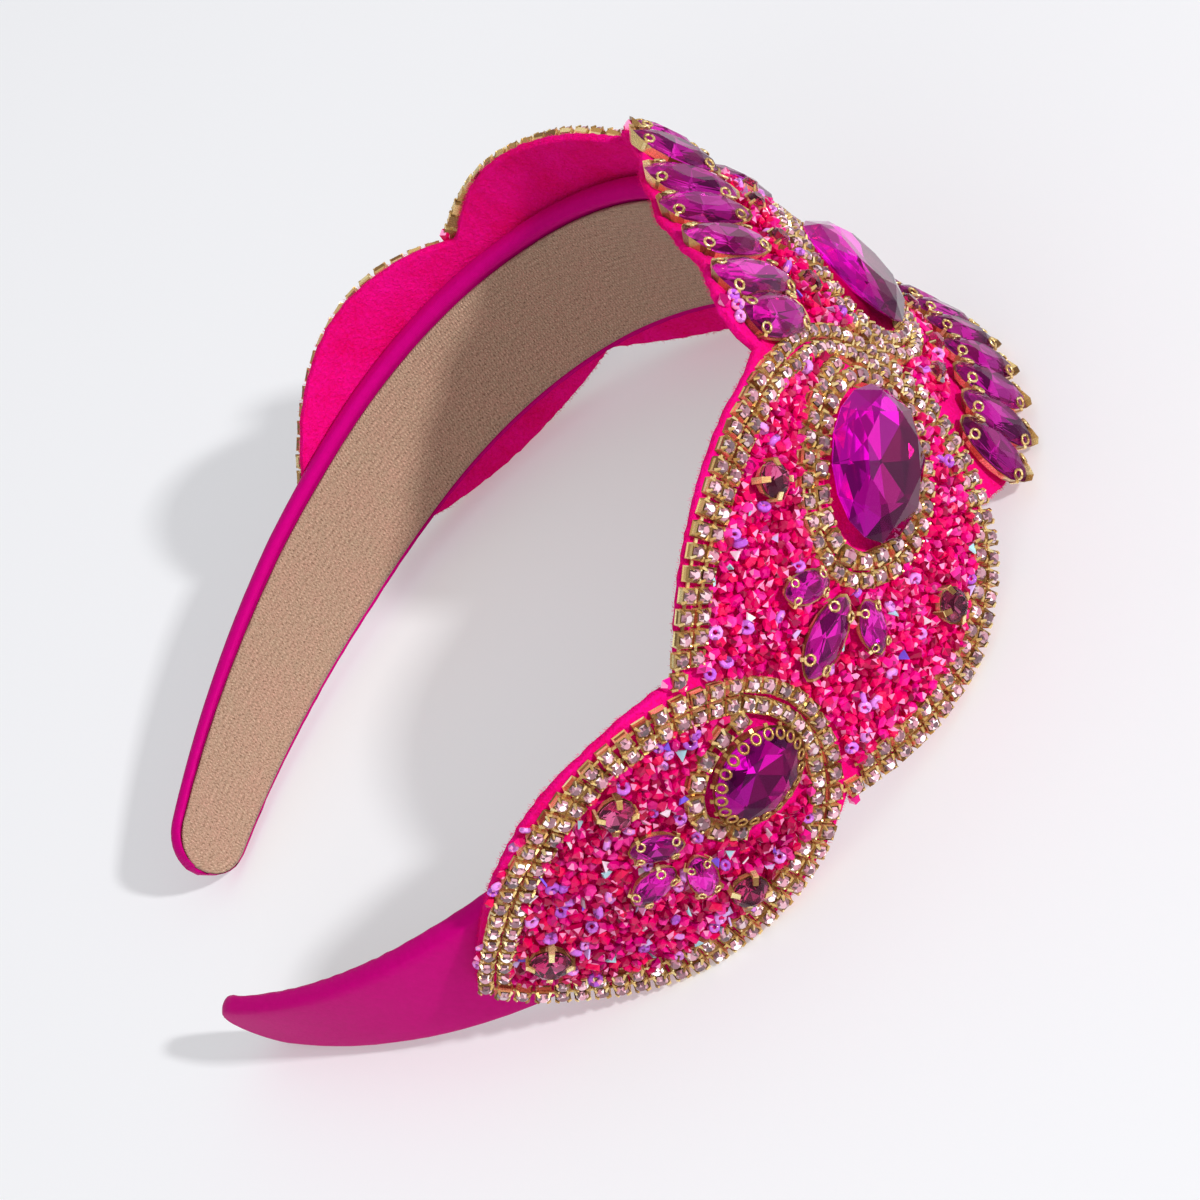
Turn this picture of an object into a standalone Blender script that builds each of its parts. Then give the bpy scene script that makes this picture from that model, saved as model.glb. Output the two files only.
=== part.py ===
"""Rhinestone headband: a padded satin band, a felt backing with scalloped lobes, cup chains and cut stones.

The ornament is laid out flat, in millimetres: s runs along the band from the middle of the crown
towards the right tip (negative towards the left tip), f runs across it (negative is the front edge,
positive the back edge), and u is the height above the felt. wrap() then bends it round the head curve.
The headband lies on the back edges of its ornament, as it does when it is put down on a table.
"""
import math

import bmesh
import bpy
from mathutils import Euler, Matrix, Vector

MM = 0.001

# Head curve: arcs of the lining's inner face, from the crown to a tip
ARCS = (
    # length, radius
    (45.0, 63.9),
    (80.0, 70.8),
    (83.5, 135.2),
)
HALF_LENGTH = sum(length for length, radius in ARCS)

# Lining: half its width at stations along the band
LINING_WIDTHS = ((0.0, 19.9), (73.7, 14.5), (147.4, 11.2), (204.0, 6.9))
TIP_ROUNDING = 6.5
TIP_FOLD = 0.9
TIP_REACH = 8.0
TIP_HALF = 0.6
LINING_THICKNESS = 0.8
SEAM_GAP = 0.3

# Band: a strip with a domed outer face and two lips that come down beside the lining
BAND_LIPS = ((0.0, 2.4), (90.0, 2.0), (150.0, 1.2), (208.5, 0.6))
BAND_HEIGHTS = ((0.0, 5.0), (100.0, 5.0), (208.5, 3.4))
LIP_LOW = 1.2
LIP_HIGH = 2.3
BAND_STEP = 9.0

# Felt: half its width at stations along the band, front and back alike
FELT_THICKNESS = 1.5
FELT_HALF = (
    # s, front, back
    (0.0, 37.0, 37.2),
    (14.0, 36.8, 37.0),
    (24.0, 36.0, 36.0),
    (31.0, 33.8, 32.2),
    (34.3, 31.4, 28.2),
    (34.9, 28.2, 27.4),
    (38.0, 29.4, 28.6),
    (45.0, 31.8, 31.2),
    (51.0, 32.5, 31.9),
    (57.0, 32.5, 32.0),
    (62.0, 31.6, 31.1),
    (67.0, 30.2, 29.6),
    (72.0, 28.0, 27.6),
    (76.0, 25.6, 25.2),
    (80.0, 22.6, 22.4),
    (83.0, 20.2, 20.0),
    (87.0, 22.3, 21.4),
    (92.0, 24.3, 22.8),
    (98.0, 25.6, 23.7),
    (104.0, 26.3, 24.0),
    (109.0, 25.9, 23.7),
    (114.0, 24.6, 22.8),
    (120.0, 22.0, 20.8),
    (126.0, 18.6, 18.0),
    (132.0, 14.0, 14.0),
    (138.0, 8.8, 9.2),
    (143.0, 3.8, 4.4),
)
FELT_TIP = 145.5

# The heavy front of the crown droops beyond the edge of the band
DROOP = 9.5
DROOP_START = 12.0
DROOP_REACH = 26.0
DROOP_POWER = 1.5
DROOP_HALF = 34.0
DROOP_CUTS = (-12.0, -18.0, -24.0, -31.0)

# Flat sheets are cut into strips this wide, so that they can bend
CUT_STEP = 8.0

# Cup chains
CHAIN_DIAMETER = 2.5
BIG_CHAIN_DIAMETER = 3.0
CHAIN_ROW_GAP = 2.9
CHAIN_STEP = 7.5
RING_STEP = 4.6

# Border of the end lobe, outer row: from its tip along the front, round the crown side, back to its tip
END_LOBE_ROUTE = (
    (143.3, -2.4), (138.5, -6.1), (133.0, -10.6), (128.0, -14.4), (121.5, -18.5), (116.0, -21.2),
    (109.3, -23.3), (102.8, -24.1), (96.8, -23.4), (91.0, -21.2), (85.6, -17.8), (81.0, -13.2),
    (77.5, -7.4), (76.0, 0.0), (77.5, 7.4), (81.0, 13.2), (85.6, 17.6), (91.0, 20.6), (96.8, 21.9),
    (102.8, 22.3), (109.3, 21.8), (116.0, 20.7), (121.5, 18.8), (128.0, 15.4), (133.0, 11.8),
    (138.5, 7.0), (142.0, 2.2),
)
END_LOBE_INNER_TRIM = (2.4, 8.0)

# Border of the middle lobe, outer row: from the end lobe along the front, round, and back along the back
MIDDLE_LOBE_ROUTE = (
    (83.0, -20.6), (79.4, -22.9), (73.8, -26.2), (68.0, -28.8), (61.8, -30.4), (55.0, -31.0),
    (48.8, -30.6), (42.8, -29.1), (36.8, -26.7), (31.8, -23.4), (26.5, -19.0), (22.6, -13.8),
    (20.4, -7.2), (19.6, 0.0), (20.4, 7.2), (22.6, 13.8), (26.5, 19.2), (31.8, 24.2), (37.5, 27.6),
    (43.3, 29.6), (50.3, 30.7), (57.0, 30.7), (63.3, 29.3), (69.3, 27.2), (75.0, 24.4), (79.4, 21.8),
    (82.4, 19.9),
)
MIDDLE_LOBE_INNER_TRIM = (1.6, 1.6)

# Ellipses: centre s, centre f, half length along s, half width along f
CENTRE_STONE = (0.0, 0.6, 12.4, 10.4)
MIDDLE_STONE = (40.2, -1.5, 12.8, 9.2)
END_STONE = (88.0, 0.7, 8.3, 6.7)
CENTRE_RING_INNER = (0.0, 0.6, 13.9, 11.9)
MIDDLE_RING_INNER = (40.2, -1.5, 14.5, 11.1)
MIDDLE_RING_OUTER = (40.2, -1.5, 17.4, 14.0)
END_RING = (88.0, 0.7, 10.3, 8.6)

# Oval stones: heights are those of the cup's floor, the girdle and the table above the felt
OVALS = (
    # name, ellipse, heights, width of the table over the girdle's, mirrored
    ("centre_oval", CENTRE_STONE, (0.3, 3.0, 5.8), 0.50, False),
    ("middle_oval", MIDDLE_STONE, (0.3, 3.6, 6.6), 0.55, True),
    ("end_oval", END_STONE, (0.3, 3.4, 5.6), 0.55, True),
)
OVAL_SIDES = 16

# Smaller stones: heights of the cup's floor, the girdle and the table above their seat
FAN_HEIGHTS = (0.0, 1.8, 3.6)
CHATON_HEIGHTS = (0.0, 1.5, 2.7)
PETAL_HEIGHTS = (0.0, 1.5, 2.9)
FRONT_FAN_LIFT = 0.6
BACK_FAN_LIFT = 0.3

# Claws stand out this far from a cup; each is drawn out of one of its sides, counted from the s direction
CLAW_DEPTH = 0.55
STONE_SIDES = 10
CHATON_CLAWS = (0, 3, 5, 8)
NAVETTE_SIDES = 10
NAVETTE_CLAWS = (1, 3, 6, 8)
PETAL_SIDES = 8

FAN_STONES = (
    # name, inner s, inner f, outer s, outer f, width, mirrored
    ("front_mid", 0.0, -21.6, 0.0, -38.6, 7.4, False),
    ("front_near", 8.9, -21.4, 11.8, -37.9, 7.4, True),
    ("front_far", 17.3, -19.8, 24.0, -35.8, 6.8, True),
    ("front_end", 23.0, -19.2, 29.4, -32.2, 5.8, True),
    ("back_a", 3.2, 21.8, 3.8, 38.2, 5.6, True),
    ("back_b", 8.8, 21.6, 11.4, 38.0, 5.6, True),
    ("back_c", 14.4, 21.2, 18.8, 37.4, 5.6, True),
    ("back_d", 20.0, 19.6, 26.0, 35.8, 5.6, True),
)

CHATONS = (
    # lobe, s, f, diameter
    ("end_front", 103.0, -15.9, 6.0),
    ("end_back", 102.8, 14.4, 6.0),
    ("end_tip", 130.2, -0.6, 7.0),
    ("middle_front", 52.0, -21.6, 6.0),
    ("middle_back", 52.6, 21.4, 6.0),
)

PETALS = {
    # lobe: centre s, centre f, length, width, angle from the s direction in degrees
    "middle": ((62.5, -8.4, 8.6, 4.8, -49.0), (67.0, -0.8, 14.0, 6.6, 0.0), (62.1, 6.9, 8.6, 4.8, 50.0)),
    "end": ((104.2, -5.6, 8.4, 4.8, -48.0), (109.4, -0.5, 8.4, 5.2, 0.0), (104.4, 5.2, 8.4, 4.4, 62.0)),
}

# Plate that carries a lobe's three petals: centre s, centre f, half sizes along s and f
PETAL_PLATES = {"middle": (61.8, -0.8, 3.2, 7.0), "end": (104.6, -0.3, 2.8, 5.0)}
PLATE_LOW = 0.25
PLATE_HIGH = 0.85

# Fields of small beads lie this high on the felt, and stop this far short of a lobe's open end
BED_TOP = 1.3
BED_STEP = 7.0
BED_TRIM = 9.0
CENTRE_BED_ANGLES = (32.0, 148.0)
CENTRE_BED_EDGE = ((19.0, 18.0), (16.0, 18.9), (8.0, 20.5), (0.0, 20.8))

# Small long stones in the fields beside the centre oval: s, f, angle from the s direction
BAGUETTES = ((5.6, 18.5, 8.0), (14.2, 15.4, 38.0))
BAGUETTE_SIZE = (5.0, 3.2)
BAGUETTE_HEIGHTS = (-0.4, 1.2, 2.1)


def arc_frame(s):
    """Point and turning angle of the lining's inner face at s, in the plane of the curve."""
    left = abs(s)
    angle = x = z = 0.0
    for index, (length, radius) in enumerate(ARCS):
        last = index == len(ARCS) - 1
        step = left if last else min(left, length)
        turned = angle + step / radius
        x += radius * (math.sin(turned) - math.sin(angle))
        z += radius * (math.cos(turned) - math.cos(angle))
        angle = turned
        left -= step
        if left <= 0.0:
            break
    side = -1.0 if s < 0.0 else 1.0
    return side * x, z, side * angle


def between(table, value, column=1):
    """Straight-line reading of a column of a table at a value of its first column."""
    if value <= table[0][0]:
        return table[0][column]
    for low, high in zip(table, table[1:]):
        if value <= high[0]:
            part = (value - low[0]) / (high[0] - low[0])
            return low[column] + part * (high[column] - low[column])
    return table[-1][column]


def bend(s, f, h):
    """Point at height h above the lining's inner face, lying on its back edge, in metres."""
    x, z, angle = arc_frame(s)
    return Vector((x + h * math.sin(angle), z + h * math.cos(angle), -f)) * MM


def droop(s, f):
    out = max(0.0, -f - DROOP_START) / DROOP_REACH
    if abs(s) >= DROOP_HALF:
        return 0.0
    along = math.cos(0.5 * math.pi * s / DROOP_HALF) ** 2
    return DROOP * along * out ** DROOP_POWER


def felt_top(s, f):
    """Height of the felt's outer face above the lining's inner face."""
    return between(BAND_HEIGHTS, abs(s)) + SEAM_GAP + FELT_THICKNESS - droop(s, f)


def normal(s, f):
    reach = 0.5
    along = bend(s + reach, f, felt_top(s + reach, f)) - bend(s - reach, f, felt_top(s - reach, f))
    across = bend(s, f + reach, felt_top(s, f + reach)) - bend(s, f - reach, felt_top(s, f - reach))
    return along.cross(across).normalized()


def wrap(s, f, u):
    """Point at height u over the felt's outer face, in metres."""
    return bend(s, f, felt_top(s, f)) + normal(s, f) * (u * MM)


def material(name, colour, roughness, metallic=0.0, transmission=0.0):
    made = bpy.data.materials.get(name)
    if made:
        return made
    made = bpy.data.materials.new(name)
    made.use_nodes = True
    shader = made.node_tree.nodes["Principled BSDF"]
    shader.inputs["Base Color"].default_value = (*colour, 1.0)
    shader.inputs["Roughness"].default_value = roughness
    shader.inputs["Metallic"].default_value = metallic
    shader.inputs["Transmission Weight"].default_value = transmission
    made.diffuse_color = (*colour, 1.0)
    return made


def satin():
    return material("magenta_satin", (0.42, 0.012, 0.17), 0.35)


def twill():
    return material("tan_twill", (0.39, 0.25, 0.16), 0.9)


def felt():
    return material("pink_felt", (0.72, 0.01, 0.10), 0.95)


def beads():
    return material("pink_beads", (0.80, 0.02, 0.22), 0.15)


def cup_chain():
    return material("rose_cup_chain", (0.62, 0.40, 0.30), 0.2, 0.6)


def fuchsia():
    return material("fuchsia_stone", (0.50, 0.0, 0.42), 0.05)


def violet():
    return material("violet_stone", (0.30, 0.02, 0.25), 0.05)


def mauve():
    return material("mauve_stone", (0.20, 0.03, 0.10), 0.05)


def add_object(name, mesh, finish):
    made = bpy.data.objects.new(name, mesh)
    mesh.materials.clear()
    mesh.materials.append(finish)
    bpy.data.collections["headband"].objects.link(made)
    return made


def mesh_from(form, name):
    bmesh.ops.recalc_face_normals(form, faces=form.faces[:])
    mesh = bpy.data.meshes.new(name)
    form.to_mesh(mesh)
    form.free()
    return mesh


def loft(rings, name):
    """Closed body through rings of equally many points, with flat ends."""
    form = bmesh.new()
    loops = [[form.verts.new(point) for point in ring] for ring in rings]
    for low, high in zip(loops, loops[1:]):
        for index in range(len(low)):
            after = (index + 1) % len(low)
            form.faces.new((low[index], low[after], high[after], high[index]))
    form.faces.new(loops[0])
    form.faces.new(loops[-1])
    return mesh_from(form, name)


def stations(reach, step, extra=()):
    """Even stations from one tip to the other, with extra ones on both sides."""
    count = math.ceil(2.0 * reach / step)
    even = [-reach + 2.0 * reach * index / count for index in range(count + 1)]
    wanted = [value for value in extra for value in (-value, value)]
    kept = [s for s in even if all(abs(s - value) > 0.3 * step for value in wanted)]
    return sorted(kept + wanted)


def strip_half(s, widths=LINING_WIDTHS):
    """Half width of the lining, drawn in to a round end at each tip."""
    wide = between(widths, abs(s))
    left = HALF_LENGTH - abs(s)
    if left >= TIP_ROUNDING:
        return wide
    over = 1.0 - max(left, 0.0) / TIP_ROUNDING
    return max(TIP_HALF, wide * math.sqrt(max(0.0, 1.0 - over * over)))


def end_stations():
    return tuple(HALF_LENGTH - TIP_ROUNDING * part for part in (0.02, 0.12, 0.35, 0.65, 1.0))


def make_lining():
    rings = []
    for s in stations(HALF_LENGTH - TIP_REACH, BAND_STEP, end_stations()):
        half = strip_half(s)
        section = ((-half, 0.0), (half, 0.0), (half, LINING_THICKNESS), (-half, LINING_THICKNESS))
        rings.append([bend(s, f, h) for f, h in section])
    add_object("lining", loft(rings, "lining"), twill())


def band_section(s):
    """Half of the band's cross section as f and h, from the middle of its inner face to its top."""
    inner = strip_half(s)
    top = between(BAND_HEIGHTS, abs(s))
    seat = LINING_THICKNESS + SEAM_GAP
    lip = between(BAND_LIPS, abs(s))
    edge = inner + lip
    return (
        (inner + SEAM_GAP, seat),
        (inner + 0.5 * lip + 0.2, 0.0),
        (edge, LIP_LOW),
        (edge - 0.25 * lip, LIP_HIGH),
        (0.70 * edge, top - 0.28 * (top - LIP_HIGH)),
        (0.32 * edge, top),
    )


def make_band():
    rings = []
    for s in stations(HALF_LENGTH - TIP_REACH, BAND_STEP, end_stations()):
        half = band_section(s)
        front = [(-f, h) for f, h in reversed(half)]
        rings.append([bend(s, f, h) for f, h in (*half, *front)])
    rings = [tip_ring(-1.0, rings[0]), *rings, tip_ring(1.0, rings[-1])]
    add_object("band", loft(rings, "band"), satin())


def tip_ring(side, ring):
    """A smaller ring past the end of the lining, so that the satin folds round the tip."""
    middle = bend(side * (HALF_LENGTH + TIP_FOLD), 0.0, 0.5 * BAND_HEIGHTS[-1][1])
    centre = sum(ring, Vector()) / len(ring)
    return [middle + (point - centre) * 0.55 for point in ring]


def cut_across(form, place, direction, reach=None):
    """Cut a flat sheet along a line, in the whole sheet or only where |s| is under a reach."""
    faces = [face for face in form.faces if reach is None or abs(face.calc_center_median().x) < reach]
    bmesh.ops.bisect_plane(
        form, geom=geometry_of(faces), dist=0.01, plane_co=[place * part for part in direction],
        plane_no=direction)


def geometry_of(faces):
    edges = {edge for face in faces for edge in face.edges}
    verts = {vert for face in faces for vert in face.verts}
    return [*verts, *edges, *faces]


def flat_body(outline, low, high, name):
    """A sheet of the given flat outline between heights low and high, wrapped round the band."""
    form = bmesh.new()
    form.faces.new([form.verts.new((s, f, 0.0)) for s, f in outline])
    form.normal_update()
    bmesh.ops.triangulate(form, faces=form.faces[:])
    ends = [vert.co.x for vert in form.verts]
    first = math.ceil(min(ends) / CUT_STEP)
    for count in range(first, math.ceil(max(ends) / CUT_STEP)):
        cut_across(form, count * CUT_STEP, (1.0, 0.0, 0.0))
    for place in DROOP_CUTS:
        cut_across(form, place, (0.0, 1.0, 0.0), DROOP_HALF)
    bmesh.ops.triangulate(form, faces=form.faces[:])
    raised = bmesh.ops.extrude_face_region(form, geom=form.faces[:])
    for item in raised["geom"]:
        if isinstance(item, bmesh.types.BMVert):
            item.co.z = 1.0
    for vert in form.verts:
        vert.co = wrap(vert.co.x, vert.co.y, high if vert.co.z > 0.5 else low)
    return mesh_from(form, name)


def make_felt():
    front = [(s, -half) for s, half, back in FELT_HALF]
    back = [(s, half) for s, front_half, half in FELT_HALF]
    right = front + [(FELT_TIP, -0.9), (FELT_TIP, 0.9)] + back[::-1]
    left = [(-s, f) for s, f in reversed(right) if s > 0.0]
    outline = right + left
    add_object("felt_backing", flat_body(outline, -FELT_THICKNESS, 0.0, "felt_backing"), felt())


def smooth(points, closed, step):
    """Points an even step apart on a smooth curve through the given flat points."""
    count = len(points)
    spans = count if closed else count - 1
    fine = []
    for index in range(spans):
        corners = []
        for offset in (-1, 0, 1, 2):
            place = index + offset
            corners.append(points[place % count] if closed else points[min(max(place, 0), count - 1)])
        for part in range(12):
            fine.append(catmull(corners, part / 12.0))
    fine.append(points[0] if closed else points[-1])
    lengths = [0.0]
    for one, two in zip(fine, fine[1:]):
        lengths.append(lengths[-1] + math.dist(one, two))
    pieces = max(3, round(lengths[-1] / step))
    table = [(length, *point) for length, point in zip(lengths, fine)]
    marks = [lengths[-1] * index / pieces for index in range(pieces if closed else pieces + 1)]
    return [(between(table, mark, 1), between(table, mark, 2)) for mark in marks]


def catmull(corners, t):
    one, two, three, four = corners
    return tuple(
        0.5 * (2 * b + (c - a) * t + (2 * a - 5 * b + 4 * c - d) * t * t + (3 * b - a - 3 * c + d) * t ** 3)
        for a, b, c, d in zip(one, two, three, four)
    )


def offset_inward(points, distance):
    """The same flat route, moved towards the inside of a lobe's border by a distance."""
    moved = []
    for index, point in enumerate(points):
        before = points[max(index - 1, 0)]
        after = points[min(index + 1, len(points) - 1)]
        length = math.dist(before, after)
        along = ((after[0] - before[0]) / length, (after[1] - before[1]) / length)
        moved.append((point[0] + along[1] * distance, point[1] - along[0] * distance))
    return moved


def trimmed(points, start, end):
    """Leave a length off each end of a fine flat route."""
    lengths = [0.0]
    for one, two in zip(points, points[1:]):
        lengths.append(lengths[-1] + math.dist(one, two))
    total = lengths[-1]
    return [point for point, length in zip(points, lengths) if start <= length <= total - end]


def ellipse_route(ellipse, start=0.0, end=360.0, count=24, grow=0.0):
    """Flat points on an ellipse; 0 degrees is towards the tip, -90 the front edge."""
    s, f, half_s, half_f = ellipse
    closed = end - start >= 360.0
    pieces = count if closed else count + 1
    angles = [math.radians(start + (end - start) * index / count) for index in range(pieces)]
    return [(s + (half_s + grow) * math.cos(a), f + (half_f + grow) * math.sin(a)) for a in angles]


def chain(name, route, diameter, closed=False, mirrored=False, step=CHAIN_STEP):
    """A cup chain as a tube through a flat route, on top of the felt."""
    side = -1.0 if mirrored else 1.0
    height = 0.5 * diameter + SEAM_GAP
    points = [wrap(side * s, f, height) for s, f in smooth(route, closed, step)]
    curve = bpy.data.curves.new(name, "CURVE")
    curve.dimensions = "3D"
    curve.bevel_depth = 0.5 * diameter * MM
    curve.bevel_resolution = 2
    curve.use_fill_caps = True
    spline = curve.splines.new("POLY")
    spline.points.add(len(points) - 1)
    for point, place in zip(spline.points, points):
        point.co = (*place, 1.0)
    spline.use_cyclic_u = closed
    curve.materials.append(cup_chain())
    bpy.data.collections["headband"].objects.link(bpy.data.objects.new(name, curve))


def both_sides(name, route, diameter, closed=False, step=CHAIN_STEP):
    chain(name + "_right", route, diameter, closed, False, step)
    chain(name + "_left", route, diameter, closed, True, step)


def make_chains():
    for name, route, trim in (
        ("end_lobe_chain", END_LOBE_ROUTE, END_LOBE_INNER_TRIM),
        ("middle_lobe_chain", MIDDLE_LOBE_ROUTE, MIDDLE_LOBE_INNER_TRIM),
    ):
        both_sides(name + "_outer", route, CHAIN_DIAMETER)
        fine = smooth(route, False, 1.0)
        both_sides(name + "_inner", trimmed(offset_inward(fine, CHAIN_ROW_GAP), *trim), CHAIN_DIAMETER)
    for name, grow in (("centre_ring_inner", 0.0), ("centre_ring_outer", CHAIN_ROW_GAP)):
        chain(name, ellipse_route(CENTRE_RING_INNER, grow=grow), CHAIN_DIAMETER, True, step=RING_STEP)
    for name, route, diameter, closed in (
        ("middle_ring_inner", ellipse_route(MIDDLE_RING_INNER), BIG_CHAIN_DIAMETER, True),
        ("middle_ring_outer", ellipse_route(MIDDLE_RING_OUTER, -137.0, 143.0), CHAIN_DIAMETER, False),
        ("end_ring", ellipse_route(END_RING, -118.0, 36.0, 12), BIG_CHAIN_DIAMETER, False),
    ):
        both_sides(name, route, diameter, closed, RING_STEP)


def on_felt(s, f, angle, lift):
    """Frame of a rigid stone: its x along the angle from the s direction, its z away from the felt."""
    up = normal(s, f)
    reach = 0.5
    along = (wrap(s + reach, f, 0.0) - wrap(s - reach, f, 0.0)).normalized()
    across = up.cross(along).normalized()
    if across.dot(wrap(s, f + reach, 0.0) - wrap(s, f, 0.0)) < 0.0:
        across = -across
    turned = math.radians(angle)
    x_axis = along * math.cos(turned) + across * math.sin(turned)
    y_axis = up.cross(x_axis)
    frame = Matrix((x_axis, y_axis, up)).transposed().to_4x4()
    frame.translation = wrap(s, f, lift)
    return frame


def oval_outline(half_length, half_width, sides, turn=0.0):
    angles = [2.0 * math.pi * (index + turn) / sides for index in range(sides)]
    return [(half_length * math.cos(a), half_width * math.sin(a)) for a in angles]


def navette_outline(half_length, half_width, sides, turn=0.0):
    """An outline with pointed ends: a width that falls with the square of the way to the end."""
    points = []
    for x, y in oval_outline(half_length, half_width, sides, turn):
        fall = 1.0 - (x / half_length) ** 2
        points.append((x, math.copysign(half_width * max(fall, 0.04) ** 0.85, y if y else 1.0)))
    return points


def scaled(outline, factor, height):
    return [Vector((x * factor, y * factor, height)) * MM for x, y in outline]


def stone_mesh(name, outline, heights, table, claws):
    """A cut stone on its cup: cup floor, girdle, table, with some cup sides drawn out into claws."""
    floor, girdle, top = heights
    rings = [
        scaled(outline, 0.86, floor),
        scaled(outline, 1.0, girdle),
        scaled(outline, 0.5 * (1.0 + table) + 0.06, girdle + 0.62 * (top - girdle)),
        scaled(outline, table, top),
    ]
    form = bmesh.new()
    loops = [[form.verts.new(point) for point in ring] for ring in rings]
    sides = len(outline)
    walls = []
    for level, (low, high) in enumerate(zip(loops, loops[1:])):
        for index in range(sides):
            after = (index + 1) % sides
            face = form.faces.new((low[index], low[after], high[after], high[index]))
            if level == 0 and index in claws:
                walls.append(face)
    form.faces.new(list(reversed(loops[0])))
    form.faces.new(loops[-1])
    form.normal_update()
    for wall in walls:
        grown = bmesh.ops.extrude_discrete_faces(form, faces=[wall])["faces"][0]
        outward = Vector((grown.normal.x, grown.normal.y, 0.0)).normalized()
        for vert in grown.verts:
            rise = 0.45 * (top - girdle) if vert.co.z > 0.5 * (floor + girdle) * MM else 0.0
            vert.co += outward * (CLAW_DEPTH * MM) + Vector((0.0, 0.0, rise * MM))
    bmesh.ops.triangulate(form, faces=[f for f in form.faces if len(f.verts) == 4 and f.calc_area() > 0.0])
    return mesh_from(form, name)


def place_stone(name, mesh, s, f, angle, lift, finish):
    mesh.transform(on_felt(s, f, angle, lift))
    return add_object(name, mesh, finish)


def sides_of(name, mirrored=True):
    return ((name + "_right", 1.0), (name + "_left", -1.0)) if mirrored else ((name, 1.0),)


def make_big_stones():
    for name, (s, f, half_s, half_f), heights, table, mirrored in OVALS:
        for full_name, side in sides_of(name, mirrored):
            mesh = stone_mesh(full_name, oval_outline(half_s, half_f, OVAL_SIDES), heights, table, ())
            place_stone(full_name, mesh, side * s, f, 0.0, 0.0, fuchsia())


def make_fan():
    for name, s_in, f_in, s_out, f_out, width, mirrored in FAN_STONES:
        length = math.dist((s_in, f_in), (s_out, f_out))
        for full_name, side in sides_of("fan_" + name, mirrored):
            angle = math.degrees(math.atan2(f_out - f_in, side * (s_out - s_in)))
            outline = navette_outline(0.5 * length, 0.5 * width, NAVETTE_SIDES)
            mesh = stone_mesh(full_name, outline, FAN_HEIGHTS, 0.5, NAVETTE_CLAWS)
            middle = (side * 0.5 * (s_in + s_out), 0.5 * (f_in + f_out))
            lift = BACK_FAN_LIFT if f_in > 0.0 else FRONT_FAN_LIFT
            place_stone(full_name, mesh, *middle, angle, lift, violet())


def make_chatons():
    for name, s, f, diameter in CHATONS:
        for full_name, side in sides_of("chaton_" + name):
            outline = oval_outline(0.5 * diameter, 0.5 * diameter, STONE_SIDES, 0.5)
            mesh = stone_mesh(full_name, outline, CHATON_HEIGHTS, 0.55, CHATON_CLAWS)
            place_stone(full_name, mesh, side * s, f, 0.0, BED_TOP + SEAM_GAP, mauve())


def union(target, others):
    """Fuse other objects into the target, and remove them."""
    bpy.context.view_layer.update()
    for other in others:
        joint = target.modifiers.new("join", "BOOLEAN")
        joint.operation = "UNION"
        joint.solver = "EXACT"
        joint.object = other
        bpy.context.view_layer.update()
        done = bpy.data.meshes.new_from_object(target.evaluated_get(bpy.context.evaluated_depsgraph_get()))
        target.modifiers.clear()
        target.data = done
        bpy.data.objects.remove(other)


def make_petals():
    for lobe, stones in PETALS.items():
        for full_name, side in sides_of(lobe + "_petals"):
            pieces = []
            for number, (s, f, length, width, angle) in enumerate(stones):
                outline = navette_outline(0.5 * length, 0.5 * width, PETAL_SIDES)
                name = full_name if number == 1 else "{}_{}".format(full_name, number)
                mesh = stone_mesh(name, outline, PETAL_HEIGHTS, 0.5, ())
                turned = angle if side > 0 else 180.0 - angle
                pieces.append(place_stone(name, mesh, side * s, f, turned, BED_TOP + SEAM_GAP, violet()))
            middle = pieces.pop(1)
            route = ellipse_route(PETAL_PLATES[lobe], count=8)
            outline = [(side * s, f) for s, f in route]
            floor = BED_TOP + SEAM_GAP
            plate = flat_body(outline, floor + PLATE_LOW, floor + PLATE_HIGH, "plate")
            union(middle, [add_object("plate", plate, violet()), *pieces])


def lobe_bed(name, route, side, hole):
    """The field of beads inside a lobe's border, cut clear of the ring round its oval."""
    bed = add_object(name, flat_body([(side * s, f) for s, f in route], SEAM_GAP, BED_TOP, name), beads())
    cutter = add_object(name + "_cutter", flat_body(
        [(side * s, f) for s, f in hole], SEAM_GAP - 2.0, BED_TOP + 2.0, name + "_cutter"), beads())
    bpy.context.view_layer.update()
    cut = bed.modifiers.new("ring_hole", "BOOLEAN")
    cut.operation = "DIFFERENCE"
    cut.solver = "EXACT"
    cut.object = cutter
    bpy.data.collections["headband"].objects.unlink(cutter)
    bpy.data.collections["cutters"].objects.link(cutter)
    cutter.hide_render = True
    cutter.display_type = "WIRE"


def make_beds():
    clear = CHAIN_ROW_GAP + 0.5 * CHAIN_DIAMETER + SEAM_GAP
    end_fine = offset_inward(smooth(END_LOBE_ROUTE, False, 1.0), clear)
    end_outline = smooth(trimmed(end_fine, BED_TRIM, BED_TRIM), False, BED_STEP)
    middle_fine = offset_inward(smooth(MIDDLE_LOBE_ROUTE, False, 1.0), clear)
    middle_outline = smooth(trimmed(middle_fine, BED_TRIM, BED_TRIM), False, BED_STEP)
    round_end = smooth([(s, f) for s, f in END_LOBE_ROUTE if s < 84.0], False, BED_STEP)
    near_end = offset_inward(round_end, -(0.5 * CHAIN_DIAMETER + SEAM_GAP + 0.3))
    middle_outline = middle_outline + near_end[::-1]
    end_hole = ellipse_route(END_RING, grow=1.9, count=14)
    middle_hole = ellipse_route(MIDDLE_RING_OUTER, grow=1.7, count=18)
    for side, tag in ((1.0, "_right"), (-1.0, "_left")):
        lobe_bed("end_lobe_beads" + tag, end_outline, side, end_hole)
        lobe_bed("middle_lobe_beads" + tag, middle_outline, side, middle_hole)


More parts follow.
